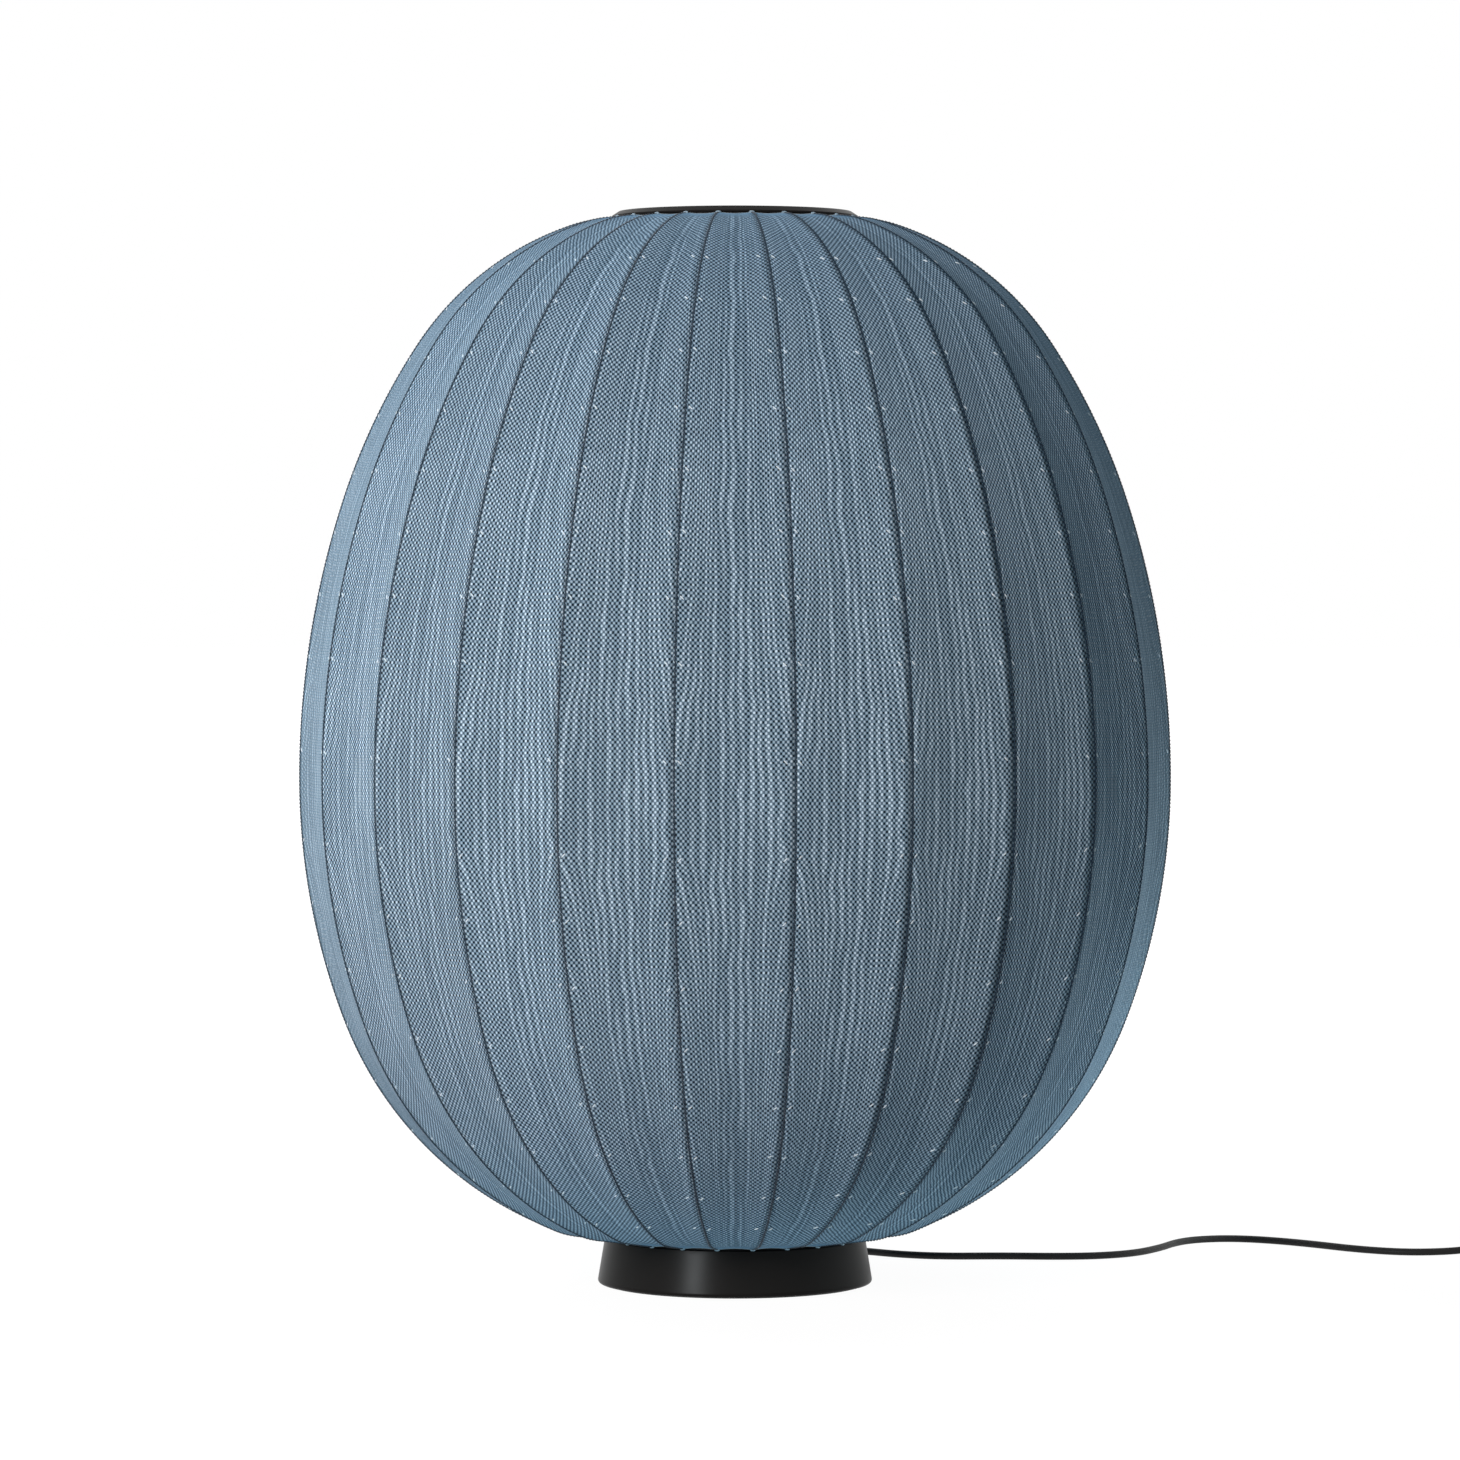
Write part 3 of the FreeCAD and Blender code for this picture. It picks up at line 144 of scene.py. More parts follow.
# Bands on the knit in millimetres: hems from start to full, the others from their middle to each side
FOOT_HEM_BAND = (34.0, 4.0)
CAP_HEM_BAND = (30.0, 4.0)
PALE_LINE_BAND = (6.6, 0.8)
# Painted shade beside each seam, wider on one side
SHADE_LEFT_OF_SEAM_BAND = (2.2, 1.8)
SHADE_RIGHT_OF_SEAM_BAND = (0.6, 1.0)

# Yarns and coatings: sizes of their mottling and fuzz, per metre
YARN_MOTTLE = 700.0
YARN_FUZZ = 2500.0
YARN_FUZZ_HEIGHT = 0.0002
COAT_MOTTLE = 9.0
COAT_ROUGHNESS_SPREAD = 0.05

# Seam cord, fashioning marks, hems and rib tunnels
SEAM_PLY_R = 0.0006
SEAM_TWIST_R = 0.00055
SEAM_PITCH = 0.0055
SEAM_STEP = 0.0015
SEAM_SINK = 0.0003
SEAM_SIDES = 4
FIRST_MARKS_UP = (0.022, 0.091)
FIRST_MARK_DOWN = 0.045
MARK_STEP = 0.047
MARKS_FROM_HEM = 0.06
MARK_LENGTH = 0.0038
MARK_R = 0.00055
MARK_LEFT = 0.007
MARK_RIGHT = 0.0036
MARK_JITTER = 0.0012
MARK_LIFT = 0.0002
MARK_OFFSET_LIMIT = 0.5
SPINDLE_STATIONS = (-1.0, -0.75, 0.0, 0.75, 1.0)
SPINDLE_GIRTH = (0.15, 0.8, 1.0, 0.8, 0.15)
SPINDLE_SIDES = 5
HEM_ROLL_R = 0.0009
HEM_ROLL_BACK = 0.0012
HEM_ROLL_INSET = 0.0006
HEM_ROLL_SIDES = 8
KNOT_R = 0.0014
TUNNEL_R = 0.0024
TUNNEL_SIDES = 8

# Lead, as in the part's source
CORD_D = 0.0055
FLOOR_Z = 0.00285
CORD_ROUTE = (
    (0.0, 0.1315, 0.011),
    (0.0, 0.1515, 0.011),
    (0.004, 0.175, 0.008),
    (0.020, 0.195, 0.0045),
    (0.046, 0.204, FLOOR_Z),
    (0.075, 0.202, FLOOR_Z),
    (0.101, 0.186, FLOOR_Z),
    (0.126, 0.164, FLOOR_Z),
    (0.160, 0.150, FLOOR_Z),
    (0.205, 0.153, FLOOR_Z),
    (0.250, 0.149, FLOOR_Z),
    (0.282, 0.153, FLOOR_Z),
    (0.312, 0.172, FLOOR_Z),
    (0.334, 0.209, FLOOR_Z),
    (0.348, 0.245, FLOOR_Z),
    (0.366, 0.267, FLOOR_Z),
    (0.393, 0.275, FLOOR_Z),
    (0.421, 0.264, FLOOR_Z),
    (0.452, 0.238, FLOOR_Z),
    (0.487, 0.198, FLOOR_Z),
    (0.522, 0.177, FLOOR_Z),
    (0.556, 0.176, 0.0036),
    (0.580, 0.179, 0.006),
    (0.600, 0.179, 0.006),
)
SWITCH_END = (0.682, 0.179, 0.006)
SWITCH_WALL = 0.002
COIL_TURNS = 6.5
COIL_INNER_R = 0.023
COIL_PITCH = 0.0061
COIL_LOW_Z = 0.00385
COIL_LEAD_IN = 0.036
COIL_LEAD_OUT = 0.028
COIL_GAP = 0.0006
POINTS_PER_TURN = 12
TURN_WIDENING = 1 / math.cos(math.pi / POINTS_PER_TURN)
STRAP_THICKNESS = 0.0008
STRAP_BEND = 0.0018
STRAP_BEND_STEPS = 7
STRAP_LAP = (-0.9, -0.4, 0.1, 0.6)

# Switch spring and felt
SPRING_WIRE_D = 0.0008
SPRING_TURNS = 4
SCREW_HEAD_R = 0.0036
SCREW_ANGLES = (30.0, 150.0, 270.0)
FELT_SIDES = 96
FELT_HOLE_SIDES = 24
FELT_HOLE_GAP = 0.0005
FELT_ROUND = 0.0004


# Node materials: each call adds a node and gives back its output
class Surface:
    def __init__(self, name):
        self.material = bpy.data.materials.new(name)
        self.material.use_nodes = True
        self.tree = self.material.node_tree
        self.shader = self.tree.nodes["Principled BSDF"]

    def add(self, kind, **settings):
        node = self.tree.nodes.new(kind)
        for key, value in settings.items():
            setattr(node, key, value)
        return node

    def feed(self, socket, value):
        if isinstance(value, bpy.types.NodeSocket):
            self.tree.links.new(value, socket)
        else:
            socket.default_value = value

    def set(self, **values):
        for key, value in values.items():
            self.feed(self.shader.inputs[key.replace("_", " ")], value)

    def math(self, operation, *values):
        node = self.add("ShaderNodeMath", operation=operation)
        for socket, value in zip(node.inputs, values):
            self.feed(socket, value)
        return node.outputs[0]

    def wave(self, turns):
        return self.math("COSINE", self.math("MULTIPLY", turns, 2 * math.pi))

    def spread(self, value, low, high, to_low=0.0, to_high=1.0):
        node = self.add("ShaderNodeMapRange", interpolation_type="SMOOTHSTEP")
        for socket, number in zip(node.inputs, (value, low, high, to_low, to_high)):
            self.feed(socket, number)
        return node.outputs[0]

    # 1 in the middle of a band, falling to 0 at its half width
    def band(self, distance, middle, half_width):
        away = self.math("ABSOLUTE", self.math("SUBTRACT", distance, middle))
        return self.spread(away, half_width, 0.0)

    def vector(self, x, y, z=0.0):
        node = self.add("ShaderNodeCombineXYZ")
        for socket, value in zip(node.inputs, (x, y, z)):
            self.feed(socket, value)
        return node.outputs[0]

    def noise(self, place, scale, detail=2.0):
        node = self.add("ShaderNodeTexNoise")
        self.feed(node.inputs["Vector"], place)
        node.inputs["Scale"].default_value = scale
        node.inputs["Detail"].default_value = detail
        return node.outputs["Fac"]

    def mix(self, share, first, second, blend="MIX"):
        node = self.add("ShaderNodeMix", data_type="RGBA", blend_type=blend)
        self.feed(node.inputs["Factor"], share)
        self.feed(node.inputs[6], first)
        self.feed(node.inputs[7], second)
        return node.outputs[2]

    def uv(self, name):
        parts = self.add("ShaderNodeSeparateXYZ")
        self.feed(parts.inputs[0], self.add("ShaderNodeUVMap", uv_map=name).outputs[0])
        return parts.outputs[0], parts.outputs[1]

    def place(self):
        return self.add("ShaderNodeTexCoord").outputs["Object"]

    def bump(self, height, distance, strength):
        node = self.add("ShaderNodeBump")
        node.inputs["Strength"].default_value = strength
        node.inputs["Distance"].default_value = distance
        self.feed(node.inputs["Height"], height)
        self.feed(self.shader.inputs["Normal"], node.outputs[0])


def rgba(red, green, blue):
    return red, green, blue, 1.0


# Holes and loops of the knit, in turn along and across
def stitch_lattice(knit, wale, course, shift):
    across = knit.wave(knit.math("ADD", wale, shift))
    along = knit.wave(knit.math("ADD", course, shift))
    lattice = knit.math("MULTIPLY", across, along)
    hole = knit.spread(lattice, 0.0, STITCH_EDGE)
    loop = knit.spread(knit.math("MULTIPLY", lattice, -1.0), 0.0, STITCH_EDGE)
    return hole, loop


# Upright pale streaks that wander and fade
def stitch_streaks(knit, wale, course, grain, shift):
    drift = knit.noise(knit.vector(wale, knit.math("MULTIPLY", course, DRIFT_STRETCH)), DRIFT_SCALE)
    wander = knit.math("MULTIPLY", knit.math("SUBTRACT", drift, 0.5), DRIFT_SHIFT)
    streak = knit.wave(knit.math("ADD", grain, knit.math("ADD", shift, wander)))
    fade = knit.noise(knit.vector(grain, knit.math("MULTIPLY", course, FADE_STRETCH)), FADE_SCALE, 1.0)
    strength = knit.spread(fade, *FADE_RANGE, *FADE_SHARES)
    return knit.math("MULTIPLY", knit.spread(streak, 1.0, -1.0), strength)


# Thread under the stitches: paler in the streaks and in a broken line beside each seam
def thread_colour(knit, wale, course, tone, to_right, pale):
    mottle = knit.noise(knit.vector(knit.math("MULTIPLY", wale, THREAD_STRETCH), course), THREAD_SCALE, 3.0)
    yarn = knit.mix(mottle, rgba(*YARN_DARK), rgba(*YARN_LIGHT))
    broken = knit.spread(knit.noise(knit.vector(tone, course), LINE_BREAK_SCALE, 1.0), *LINE_BREAK_RANGE)
    pale_line = knit.math("MULTIPLY", knit.band(to_right, *PALE_LINE_BAND), broken)
    in_streak = knit.spread(pale, *THREAD_PALE_RANGE, 0.0, THREAD_PALE_SHARE)
    pale_share = knit.math("MAXIMUM", in_streak, pale_line)
    return knit.mix(pale_share, yarn, rgba(*YARN_PALE))


# Bright loops and dark holes over the thread, both lost where the knit is doubled at the hems, which are
# painted a paler blue as painted light
def stitch_colour(knit, thread, pale, hole, loop, doubled_and_lit):
    single = knit.math("SUBTRACT", 1.0, doubled_and_lit)
    loop_light = knit.math("MULTIPLY", loop, knit.spread(pale, 0.0, 1.0, *LOOPS_BY_STREAK))
    lit = knit.mix(knit.math("MULTIPLY", loop_light, single), thread, rgba(*LOOP_COLOUR))
    hems_painted_light = knit.mix(doubled_and_lit, lit, rgba(*DOUBLED_PAINTED_LIGHT_COLOUR))
    open_hole = knit.math("MULTIPLY", hole, single)
    hole_depth = knit.math("MULTIPLY", open_hole, knit.spread(pale, 0.0, 1.0, *HOLES_BY_STREAK))
    return knit.mix(hole_depth, hems_painted_light, rgba(*HOLE_COLOUR))


# Painted shade: bluer and darker where the gore is narrow, and darker along its seams, more on one side
def gore_painted_shade(knit, tone, to_right, to_left):
    belly_width = MM * 2 * BELLY_R * math.sin(HALF_STEP)
    stretch = knit.math("DIVIDE", knit.math("ADD", to_right, to_left), belly_width)
    painted_tint = knit.mix(stretch, rgba(*NARROW_END_SHADE_TINT), rgba(1.0, 1.0, 1.0))
    # Painted shade beside the seams
    shade_left_of_seam = knit.band(to_right, *SHADE_LEFT_OF_SEAM_BAND)
    shade_right_of_seam = knit.band(to_left, *SHADE_RIGHT_OF_SEAM_BAND)
    beside_seam_shade = knit.math("MAXIMUM", shade_left_of_seam, shade_right_of_seam)
    shaded = knit.math("MULTIPLY", tone, knit.spread(beside_seam_shade, 0.0, 1.0, 1.0, PAINTED_SEAM_SHADE))
    return knit.mix(1.0, painted_tint, knit.vector(shaded, shaded, shaded), "MULTIPLY")


def knit_material():
    knit = Surface("knit")
    wale, course = knit.uv("stitch")
    # The tone holds each gore's own tone and the painted shade towards the hems
    grain, tone = knit.uv("grain")
    to_right, to_left = knit.uv("edge")
    from_foot, from_cap = knit.uv("hem")
    # Hem bands: the knit is doubled there and painted paler as painted light
    foot_hem = knit.spread(from_foot, *FOOT_HEM_BAND)
    cap_hem = knit.spread(from_cap, *CAP_HEM_BAND)
    doubled_and_lit = knit.math("MAXIMUM", foot_hem, cap_hem)
    loose = knit.noise(knit.vector(wale, course), LOOSE_SCALE)
    shift = knit.math("MULTIPLY", knit.math("SUBTRACT", loose, 0.5), LOOSE_SHIFT)
    hole, loop = stitch_lattice(knit, wale, course, shift)
    pale = stitch_streaks(knit, wale, course, grain, shift)
    thread = thread_colour(knit, wale, course, tone, to_right, pale)
    stitches = stitch_colour(knit, thread, pale, hole, loop, doubled_and_lit)
    painted_tint = gore_painted_shade(knit, tone, to_right, to_left)
    knit.set(Base_Color=knit.mix(1.0, stitches, painted_tint, "MULTIPLY"))
    knit.set(Roughness=0.85, Diffuse_Roughness=0.5, Sheen_Weight=0.04, Sheen_Roughness=0.5)
    knit.set(Sheen_Tint=rgba(0.8, 0.92, 1.0), Specular_IOR_Level=0.08)
    knit.bump(knit.math("SUBTRACT", loop, hole), STITCH_HEIGHT, 0.5)
    return knit.material


def yarn_material(name, low, high):
    yarn = Surface(name)
    place = yarn.place()
    share = yarn.noise(place, YARN_MOTTLE)
    yarn.set(Base_Color=yarn.mix(share, rgba(*low), rgba(*high)))
    yarn.set(Roughness=0.85, Sheen_Weight=0.2, Sheen_Roughness=0.4, Specular_IOR_Level=0.2)
    yarn.bump(yarn.noise(place, YARN_FUZZ), YARN_FUZZ_HEIGHT, 0.6)
    return yarn.material


def coated_material(name, low, high, roughness, grain, depth, metallic=0.0, shine=0.5):
    coat = Surface(name)
    place = coat.place()
    share = coat.noise(place, COAT_MOTTLE, 4.0)
    smoothest = roughness - COAT_ROUGHNESS_SPREAD
    roughest = roughness + COAT_ROUGHNESS_SPREAD
    coat.set(Base_Color=coat.mix(share, rgba(*low), rgba(*high)))
    coat.set(Roughness=coat.spread(share, 0.2, 0.8, smoothest, roughest))
    coat.set(Metallic=metallic, Specular_IOR_Level=shine)
    coat.bump(coat.noise(place, grain), depth, 0.5)
    return coat.material


KNIT = knit_material()
SEAM_YARN = yarn_material("seam_yarn", (0.004, 0.012, 0.024), (0.018, 0.042, 0.07))
MARK_YARN = yarn_material("mark_yarn", (0.46, 0.6, 0.7), (0.64, 0.76, 0.84))
HEM_YARN = yarn_material("hem_yarn", (0.14, 0.23, 0.31), (0.26, 0.38, 0.47))
LINING = yarn_material("lining", (0.12, 0.19, 0.25), (0.2, 0.29, 0.36))
SATIN_BLACK = coated_material(
    "satin_black", (0.005, 0.005, 0.005), (0.009, 0.009, 0.009), 0.36, 1800.0, 0.00002, shine=0.06)
MOULDED_BLACK = coated_material(
    "moulded_black", (0.006, 0.006, 0.007), (0.012, 0.012, 0.013), 0.5, 2600.0, 0.00008, shine=0.12)
CORD_BLACK = coated_material(
    "cord_black", (0.005, 0.005, 0.005), (0.01, 0.01, 0.01), 0.55, 3000.0, 0.00006, shine=0.2)
STRAP_YARN = yarn_material("strap_yarn", (0.008, 0.008, 0.009), (0.03, 0.03, 0.032))
FELT = coated_material("felt", (0.02, 0.02, 0.02), (0.05, 0.05, 0.05), 0.9, 1500.0, 0.0004)
CAST_IRON = coated_material("cast_iron", (0.05, 0.05, 0.054), (0.11, 0.11, 0.115), 0.65, 500.0, 0.0004)
STEEL = coated_material("steel", (0.5, 0.5, 0.5), (0.64, 0.64, 0.63), 0.32, 1200.0, 0.00004, 1.0)
BRASS = coated_material("brass", (0.62, 0.45, 0.18), (0.78, 0.6, 0.29), 0.3, 1200.0, 0.00004, 1.0)
BULB_METAL = coated_material("bulb_metal", (0.6, 0.6, 0.6), (0.74, 0.74, 0.74), 0.28, 900.0, 0.00005, 1.0)
CERAMIC = coated_material("ceramic", (0.74, 0.72, 0.66), (0.84, 0.82, 0.77), 0.25, 400.0, 0.00005)
OPAL_GLASS = coated_material("opal_glass", (0.8, 0.79, 0.76), (0.88, 0.87, 0.84), 0.16, 200.0, 0.00002)
RIB_ROD = coated_material("rib_rod", (0.09, 0.15, 0.21), (0.14, 0.22, 0.3), 0.5, 1500.0, 0.00006)
WIRE_SHEATH = coated_material("wire_sheath", (0.14, 0.08, 0.05), (0.24, 0.14, 0.09), 0.45, 2000.0, 0.00004)

# Finishes of the parts that stay as they are
FINISHES = (
    (SATIN_BLACK, ("base_shell", "top_cap", "stem_tube")),
    (MOULDED_BLACK, ("holder_cap", "holder_body", "lower_rib_ring", "upper_rib_ring", "switch_base",
                     "switch_cover", "switch_button", "plug_body", "strain_relief", "cord_clamp")),
    (CORD_BLACK, ("cord_entry",)),
    (CAST_IRON, ("ballast_weight",)),
    (STEEL, ("base_plate", "base_plate_screws", "cord_clamp_screws", "lower_ring_screws", "stem_nut",
             "stem_washer", "stem_rod", "switch_screws")),
    (BRASS, ("holder_contact", "holder_screw_shell", "switch_contacts", "plug_pins", "bulb_contact")),
    (BULB_METAL, ("bulb_cap",)),
    (CERAMIC, ("holder_insulator",)),
    (OPAL_GLASS, ("bulb_globe",)),
    (WIRE_SHEATH, ("inner_leads",)),
    (RIB_ROD, tuple("rib_pair_%02d" % number for number in range(1, RIB_COUNT // 2 + 1))),
)


def finish_parts():
    for material, names in FINISHES:
        for name in names:
            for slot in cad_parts[name].material_slots:
                slot.material = material


# Objects and meshes
def new_object(name, data):
    thing = bpy.data.objects.new(name, data)
    bpy.context.collection.objects.link(thing)
    return thing


def mesh_piece(name, points, faces, material):
    mesh = bpy.data.meshes.new(name)
    mesh.from_pydata([tuple(point) for point in points], [], [tuple(face) for face in faces])
    mesh.materials.append(material)
    return new_object(name, mesh)


def smooth(piece):
    piece.data.polygons.foreach_set("use_smooth", [True] * len(piece.data.polygons))


def on_root(piece):
    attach(piece, ROOT)


def paint_uv(mesh, name, per_point):
    layer = mesh.uv_layers.new(name=name)
    corners = np.empty(len(mesh.loops), np.int32)
    mesh.loops.foreach_get("vertex_index", corners)
    layer.uv.foreach_set("vector", per_point[corners].astype(np.float32).ravel())


def grid_faces(rows, columns, start=0, flip=False):
    first = start + (np.arange(rows - 1)[:, None] * columns + np.arange(columns - 1)).ravel()
    faces = np.stack([first, first + 1, first + columns + 1, first + columns], 1)
    return faces[:, ::-1] if flip else faces


def loop_faces(rings, sides, start=0):
    side = np.arange(sides)
    after = (side + 1) % sides
    ring = start + np.arange(rings - 1)[:, None] * sides
    faces = np.stack([ring + side, ring + after, ring + sides + after, ring + sides + side], 2)
    return faces.reshape(-1, 4)


def end_caps(rings, sides, start=0):
    last = start + (rings - 1) * sides
    return [tuple(range(start + sides - 1, start - 1, -1)), tuple(range(last, last + sides))]


def closed_tube_faces(rings, sides, start=0):
    return loop_faces(rings, sides, start).tolist() + end_caps(rings, sides, start)


# A tube round each row of a path, given two directions across it
def tube_points(path, side, out, radius, sides):
    turn = 2 * math.pi * np.arange(sides) / sides
    ring = side[:, None] * np.cos(turn)[None, :, None] + out[:, None] * np.sin(turn)[None, :, None]
    return (path[:, None] + radius * ring).reshape(-1, 3)


def turned(points, angle):
    cosine, sine = math.cos(angle), math.sin(angle)
    x, y, z = points[..., 0], points[..., 1], points[..., 2]
    return np.stack([x * cosine - y * sine, x * sine + y * cosine, z], -1)


# Camera, light and stage
def make_camera():
    data = bpy.data.cameras.new("camera")
    data.sensor_width = SENSOR_WIDTH
    data.lens = SENSOR_WIDTH * FOCAL_PIXELS / PHOTO_WIDTH
    camera = new_object("camera", data)
    down = math.atan((PHOTO_WIDTH / 2 - EYE_LEVEL_ROW) / FOCAL_PIXELS)
    left = math.atan((AXIS_COLUMN - PHOTO_WIDTH / 2) / FOCAL_PIXELS)
    camera.location = (0.0, -CAMERA_DISTANCE, CAMERA_HEIGHT)
    camera.rotation_euler = (math.pi / 2 - down, 0.0, left)
    bpy.context.scene.camera = camera


# A light for the matt surfaces, or a glint that only shows as a reflection
def area_light(name, azimuth, elevation, distance, size, power, colour, glint=False):
    data = bpy.data.lights.new(name, "AREA")
    data.shape = "RECTANGLE"
    data.size, data.size_y = size
    data.energy = power
    data.color = colour
    light = new_object(name, data)
    turn = math.radians(azimuth)
    rise = math.radians(elevation)
    level = distance * math.cos(rise)
    away = np.array((level * math.sin(turn), -level * math.cos(turn), distance * math.sin(rise)))
    light.location = np.array(LIGHT_TARGET) + away
    light.rotation_euler = (math.pi / 2 - rise, 0.0, turn)
    light.visible_camera = False
    light.visible_glossy = glint
    light.visible_diffuse = not glint


def make_lights():
    for light in LIGHTS:
        area_light(*light)
    area_light(*GLINT, glint=True)


# 1 for what the camera sees, directly or in a reflection or through glass
def seen_directly(tree):
    path = tree.nodes.new("ShaderNodeLightPath")
    seen = path.outputs["Is Camera Ray"]
    for other in ("Is Glossy Ray", "Is Transmission Ray"):
        either = tree.nodes.new("ShaderNodeMath")
        either.operation = "MAXIMUM"
        tree.links.new(seen, either.inputs[0])
        tree.links.new(path.outputs[other], either.inputs[1])
        seen = either.outputs[0]
    return seen


def mix_shaders(tree, share, first, second, output):
    choice = tree.nodes.new("ShaderNodeMixShader")
    tree.links.new(share, choice.inputs[0])
    tree.links.new(first.outputs[0], choice.inputs[1])
    tree.links.new(second.outputs[0], choice.inputs[2])
    tree.links.new(choice.outputs[0], tree.nodes[output].inputs[0])


def make_world():
    world = bpy.data.worlds.new("studio")
    world.use_nodes = True
    tree = world.node_tree
    lit = tree.nodes["Background"]
    lit.inputs["Color"].default_value = rgba(*WORLD_COLOUR)
    lit.inputs["Strength"].default_value = WORLD_STRENGTH
    white = tree.nodes.new("ShaderNodeBackground")
    white.inputs["Color"].default_value = rgba(1.0, 1.0, 1.0)
    mix_shaders(tree, seen_directly(tree), lit, white, "World Output")
    bpy.context.scene.world = world


def floor_material():
    floor = Surface("floor")
    floor.set(Base_Color=rgba(*FLOOR_COLOUR), Roughness=0.9)
    glow = floor.add("ShaderNodeEmission")
    glow.inputs["Strength"].default_value = FLOOR_GLOW
    distance = floor.add("ShaderNodeVectorMath", operation="LENGTH")
    floor.feed(distance.inputs[0], floor.place())
    white = floor.spread(distance.outputs["Value"], *GLOW_DISTANCES, *GLOW_SHARES)
    share = floor.math("MULTIPLY", seen_directly(floor.tree), white)
    mix_shaders(floor.tree, share, floor.shader, glow, "Material Output")
    return floor.material


def make_floor():
    corners = [(x * FLOOR_HALF, y * FLOOR_HALF, 0.0) for x, y in ((-1, -1), (1, -1), (1, 1), (-1, 1))]
    floor = mesh_piece("floor", corners, [(0, 1, 2, 3)], floor_material())


# The shade's upright line: radius, height and outward angle in rows, from the belly to a hem
def half_profile(arcs, hem_r):
    rows = []
    centre_r = BELLY_R - arcs[0][0]
    centre_z = 0.0
    angle = 0.0
    for index, (size, degrees) in enumerate(arcs):
        swept = math.radians(degrees)
        steps = max(2, round(size * swept / ROW_STEP))
        for turn in np.linspace(angle, angle + swept, steps, endpoint=False):
            rows.append((centre_r + size * math.cos(turn), centre_z + size * math.sin(turn), turn))
        angle += swept
        if index + 1 < len(arcs):
            change = size - arcs[index + 1][0]
            centre_r += change * math.cos(angle)
            centre_z += change * math.sin(angle)
    last_size = arcs[-1][0]
    end_r = centre_r + last_size * math.cos(angle)
    end_z = centre_z + last_size * math.sin(angle)
    run = (end_r - hem_r) / math.sin(angle)
    for share in np.linspace(0.0, 1.0, max(2, round(run / ROW_STEP)) + 1):
        length = run * share
        rows.append((end_r - length * math.sin(angle), end_z + length * math.cos(angle), angle))
    return np.array(rows)


# Both halves in one line, from the lower hem up
def whole_profile():
    upper = half_profile(UPPER_ARCS, UPPER_HEM_R)
    lower = half_profile(LOWER_ARCS, LOWER_HEM_R) * (1.0, -1.0, -1.0)
    rows = np.concatenate([lower[:0:-1], upper])
    rows[:, 1] += LOWER_HEM_Z - rows[0, 1]
    return rows


PROFILE = whole_profile()
ALONG = np.concatenate([[0.0], np.cumsum(np.hypot(*np.diff(PROFILE[:, :2], axis=0).T))])
BELLY_ALONG = ALONG[np.argmax(PROFILE[:, 0])]
HALF_CHORD = PROFILE[:, 0] * math.sin(HALF_STEP)


# Lengths along the profile of the fashioning marks, counted from the belly up and down
def mark_places():
    up = np.arange(BELLY_ALONG + FIRST_MARKS_UP[1], ALONG[-1] - MARKS_FROM_HEM, MARK_STEP)
    down = np.arange(BELLY_ALONG - FIRST_MARK_DOWN, MARKS_FROM_HEM, -MARK_STEP)
    return np.concatenate([[BELLY_ALONG + FIRST_MARKS_UP[0]], up]), down


MARKS_UP, MARKS_DOWN = mark_places()


# How many marks lie between the belly's first marks and each row
def marks_passed():
    places = np.concatenate([MARKS_DOWN[::-1], MARKS_UP])
    counts = np.concatenate([np.arange(len(MARKS_DOWN))[::-1], np.arange(len(MARKS_UP))])
    return np.interp(ALONG, places, counts)


# Points of one gore about the X axis: rows up the profile, columns from rib to rib
def gore_points(profile, across, inset, sag):
    radius, height, angle = profile.T
    reach = radius - inset * np.cos(angle)
    level = height - inset * np.sin(angle)
    half_chord = reach * math.sin(HALF_STEP)
    inward = np.stack([-np.cos(angle) * math.cos(HALF_STEP), 0 * angle, -np.sin(angle)], 1)
    inward /= np.linalg.norm(inward, axis=1)[:, None]
    pull = (2 * half_chord * sag)[:, None] * (1 - across ** 2)
    flat = np.stack(np.broadcast_arrays(
        (reach * math.cos(HALF_STEP))[:, None], half_chord[:, None] * across, level[:, None]), -1)
    return flat + inward[:, None] * pull[..., None]


# Maps of a gore: stitches, grain lines with tone and painted shade towards the hems, and millimetres from
# its seams and from its hems
def gore_maps(across, tone, phase):
    place = HALF_CHORD[:, None] * across
    bow = COURSE_BOW * (1 - across ** 2)
    stitch = np.stack(np.broadcast_arrays(place / WALE + phase, ALONG[:, None] / COURSE + bow), -1)
    outer = np.clip((np.abs(across) - GRAIN_STRAIGHT_SHARE) / (1 - GRAIN_STRAIGHT_SHARE), 0, 1)
    bend = marks_passed()[:, None] * GRAIN_LINES_PER_MARK * outer ** 2 * (3 - 2 * outer)
    lines = place / GRAIN + np.sign(across) * bend
    # Painted shade: the tone darkens towards both hems as the gore narrows
    hem_shade_share = PAINTED_HEM_SHADE * (1 - HALF_CHORD / HALF_CHORD.max())[:, None]
    grain = np.stack(np.broadcast_arrays(lines + phase, tone * (1 - hem_shade_share)), -1)
    edge = MM * np.stack([HALF_CHORD[:, None] - place, HALF_CHORD[:, None] + place], -1)
    hem = MM * np.stack(np.broadcast_arrays(ALONG[:, None], ALONG[-1] - ALONG[:, None] + 0 * place), -1)
    return {"stitch": stitch, "grain": grain, "edge": edge, "hem": hem}


# Faces of a gore: its outer and inner side, and the walls round its rim
def gore_faces(rows, columns):
    count = rows * columns
    rim = np.concatenate([
        np.arange(columns),
        np.arange(1, rows) * columns + columns - 1,
        (rows - 1) * columns + np.arange(columns - 2, -1, -1),
        np.arange(rows - 2, 0, -1) * columns,
    ])
    after = np.roll(rim, -1)
    walls = np.stack([rim, rim + count, after + count, after], 1)
    sides = [grid_faces(rows, columns), grid_faces(rows, columns, count, flip=True)]
    return np.concatenate(sides + [walls]).tolist()


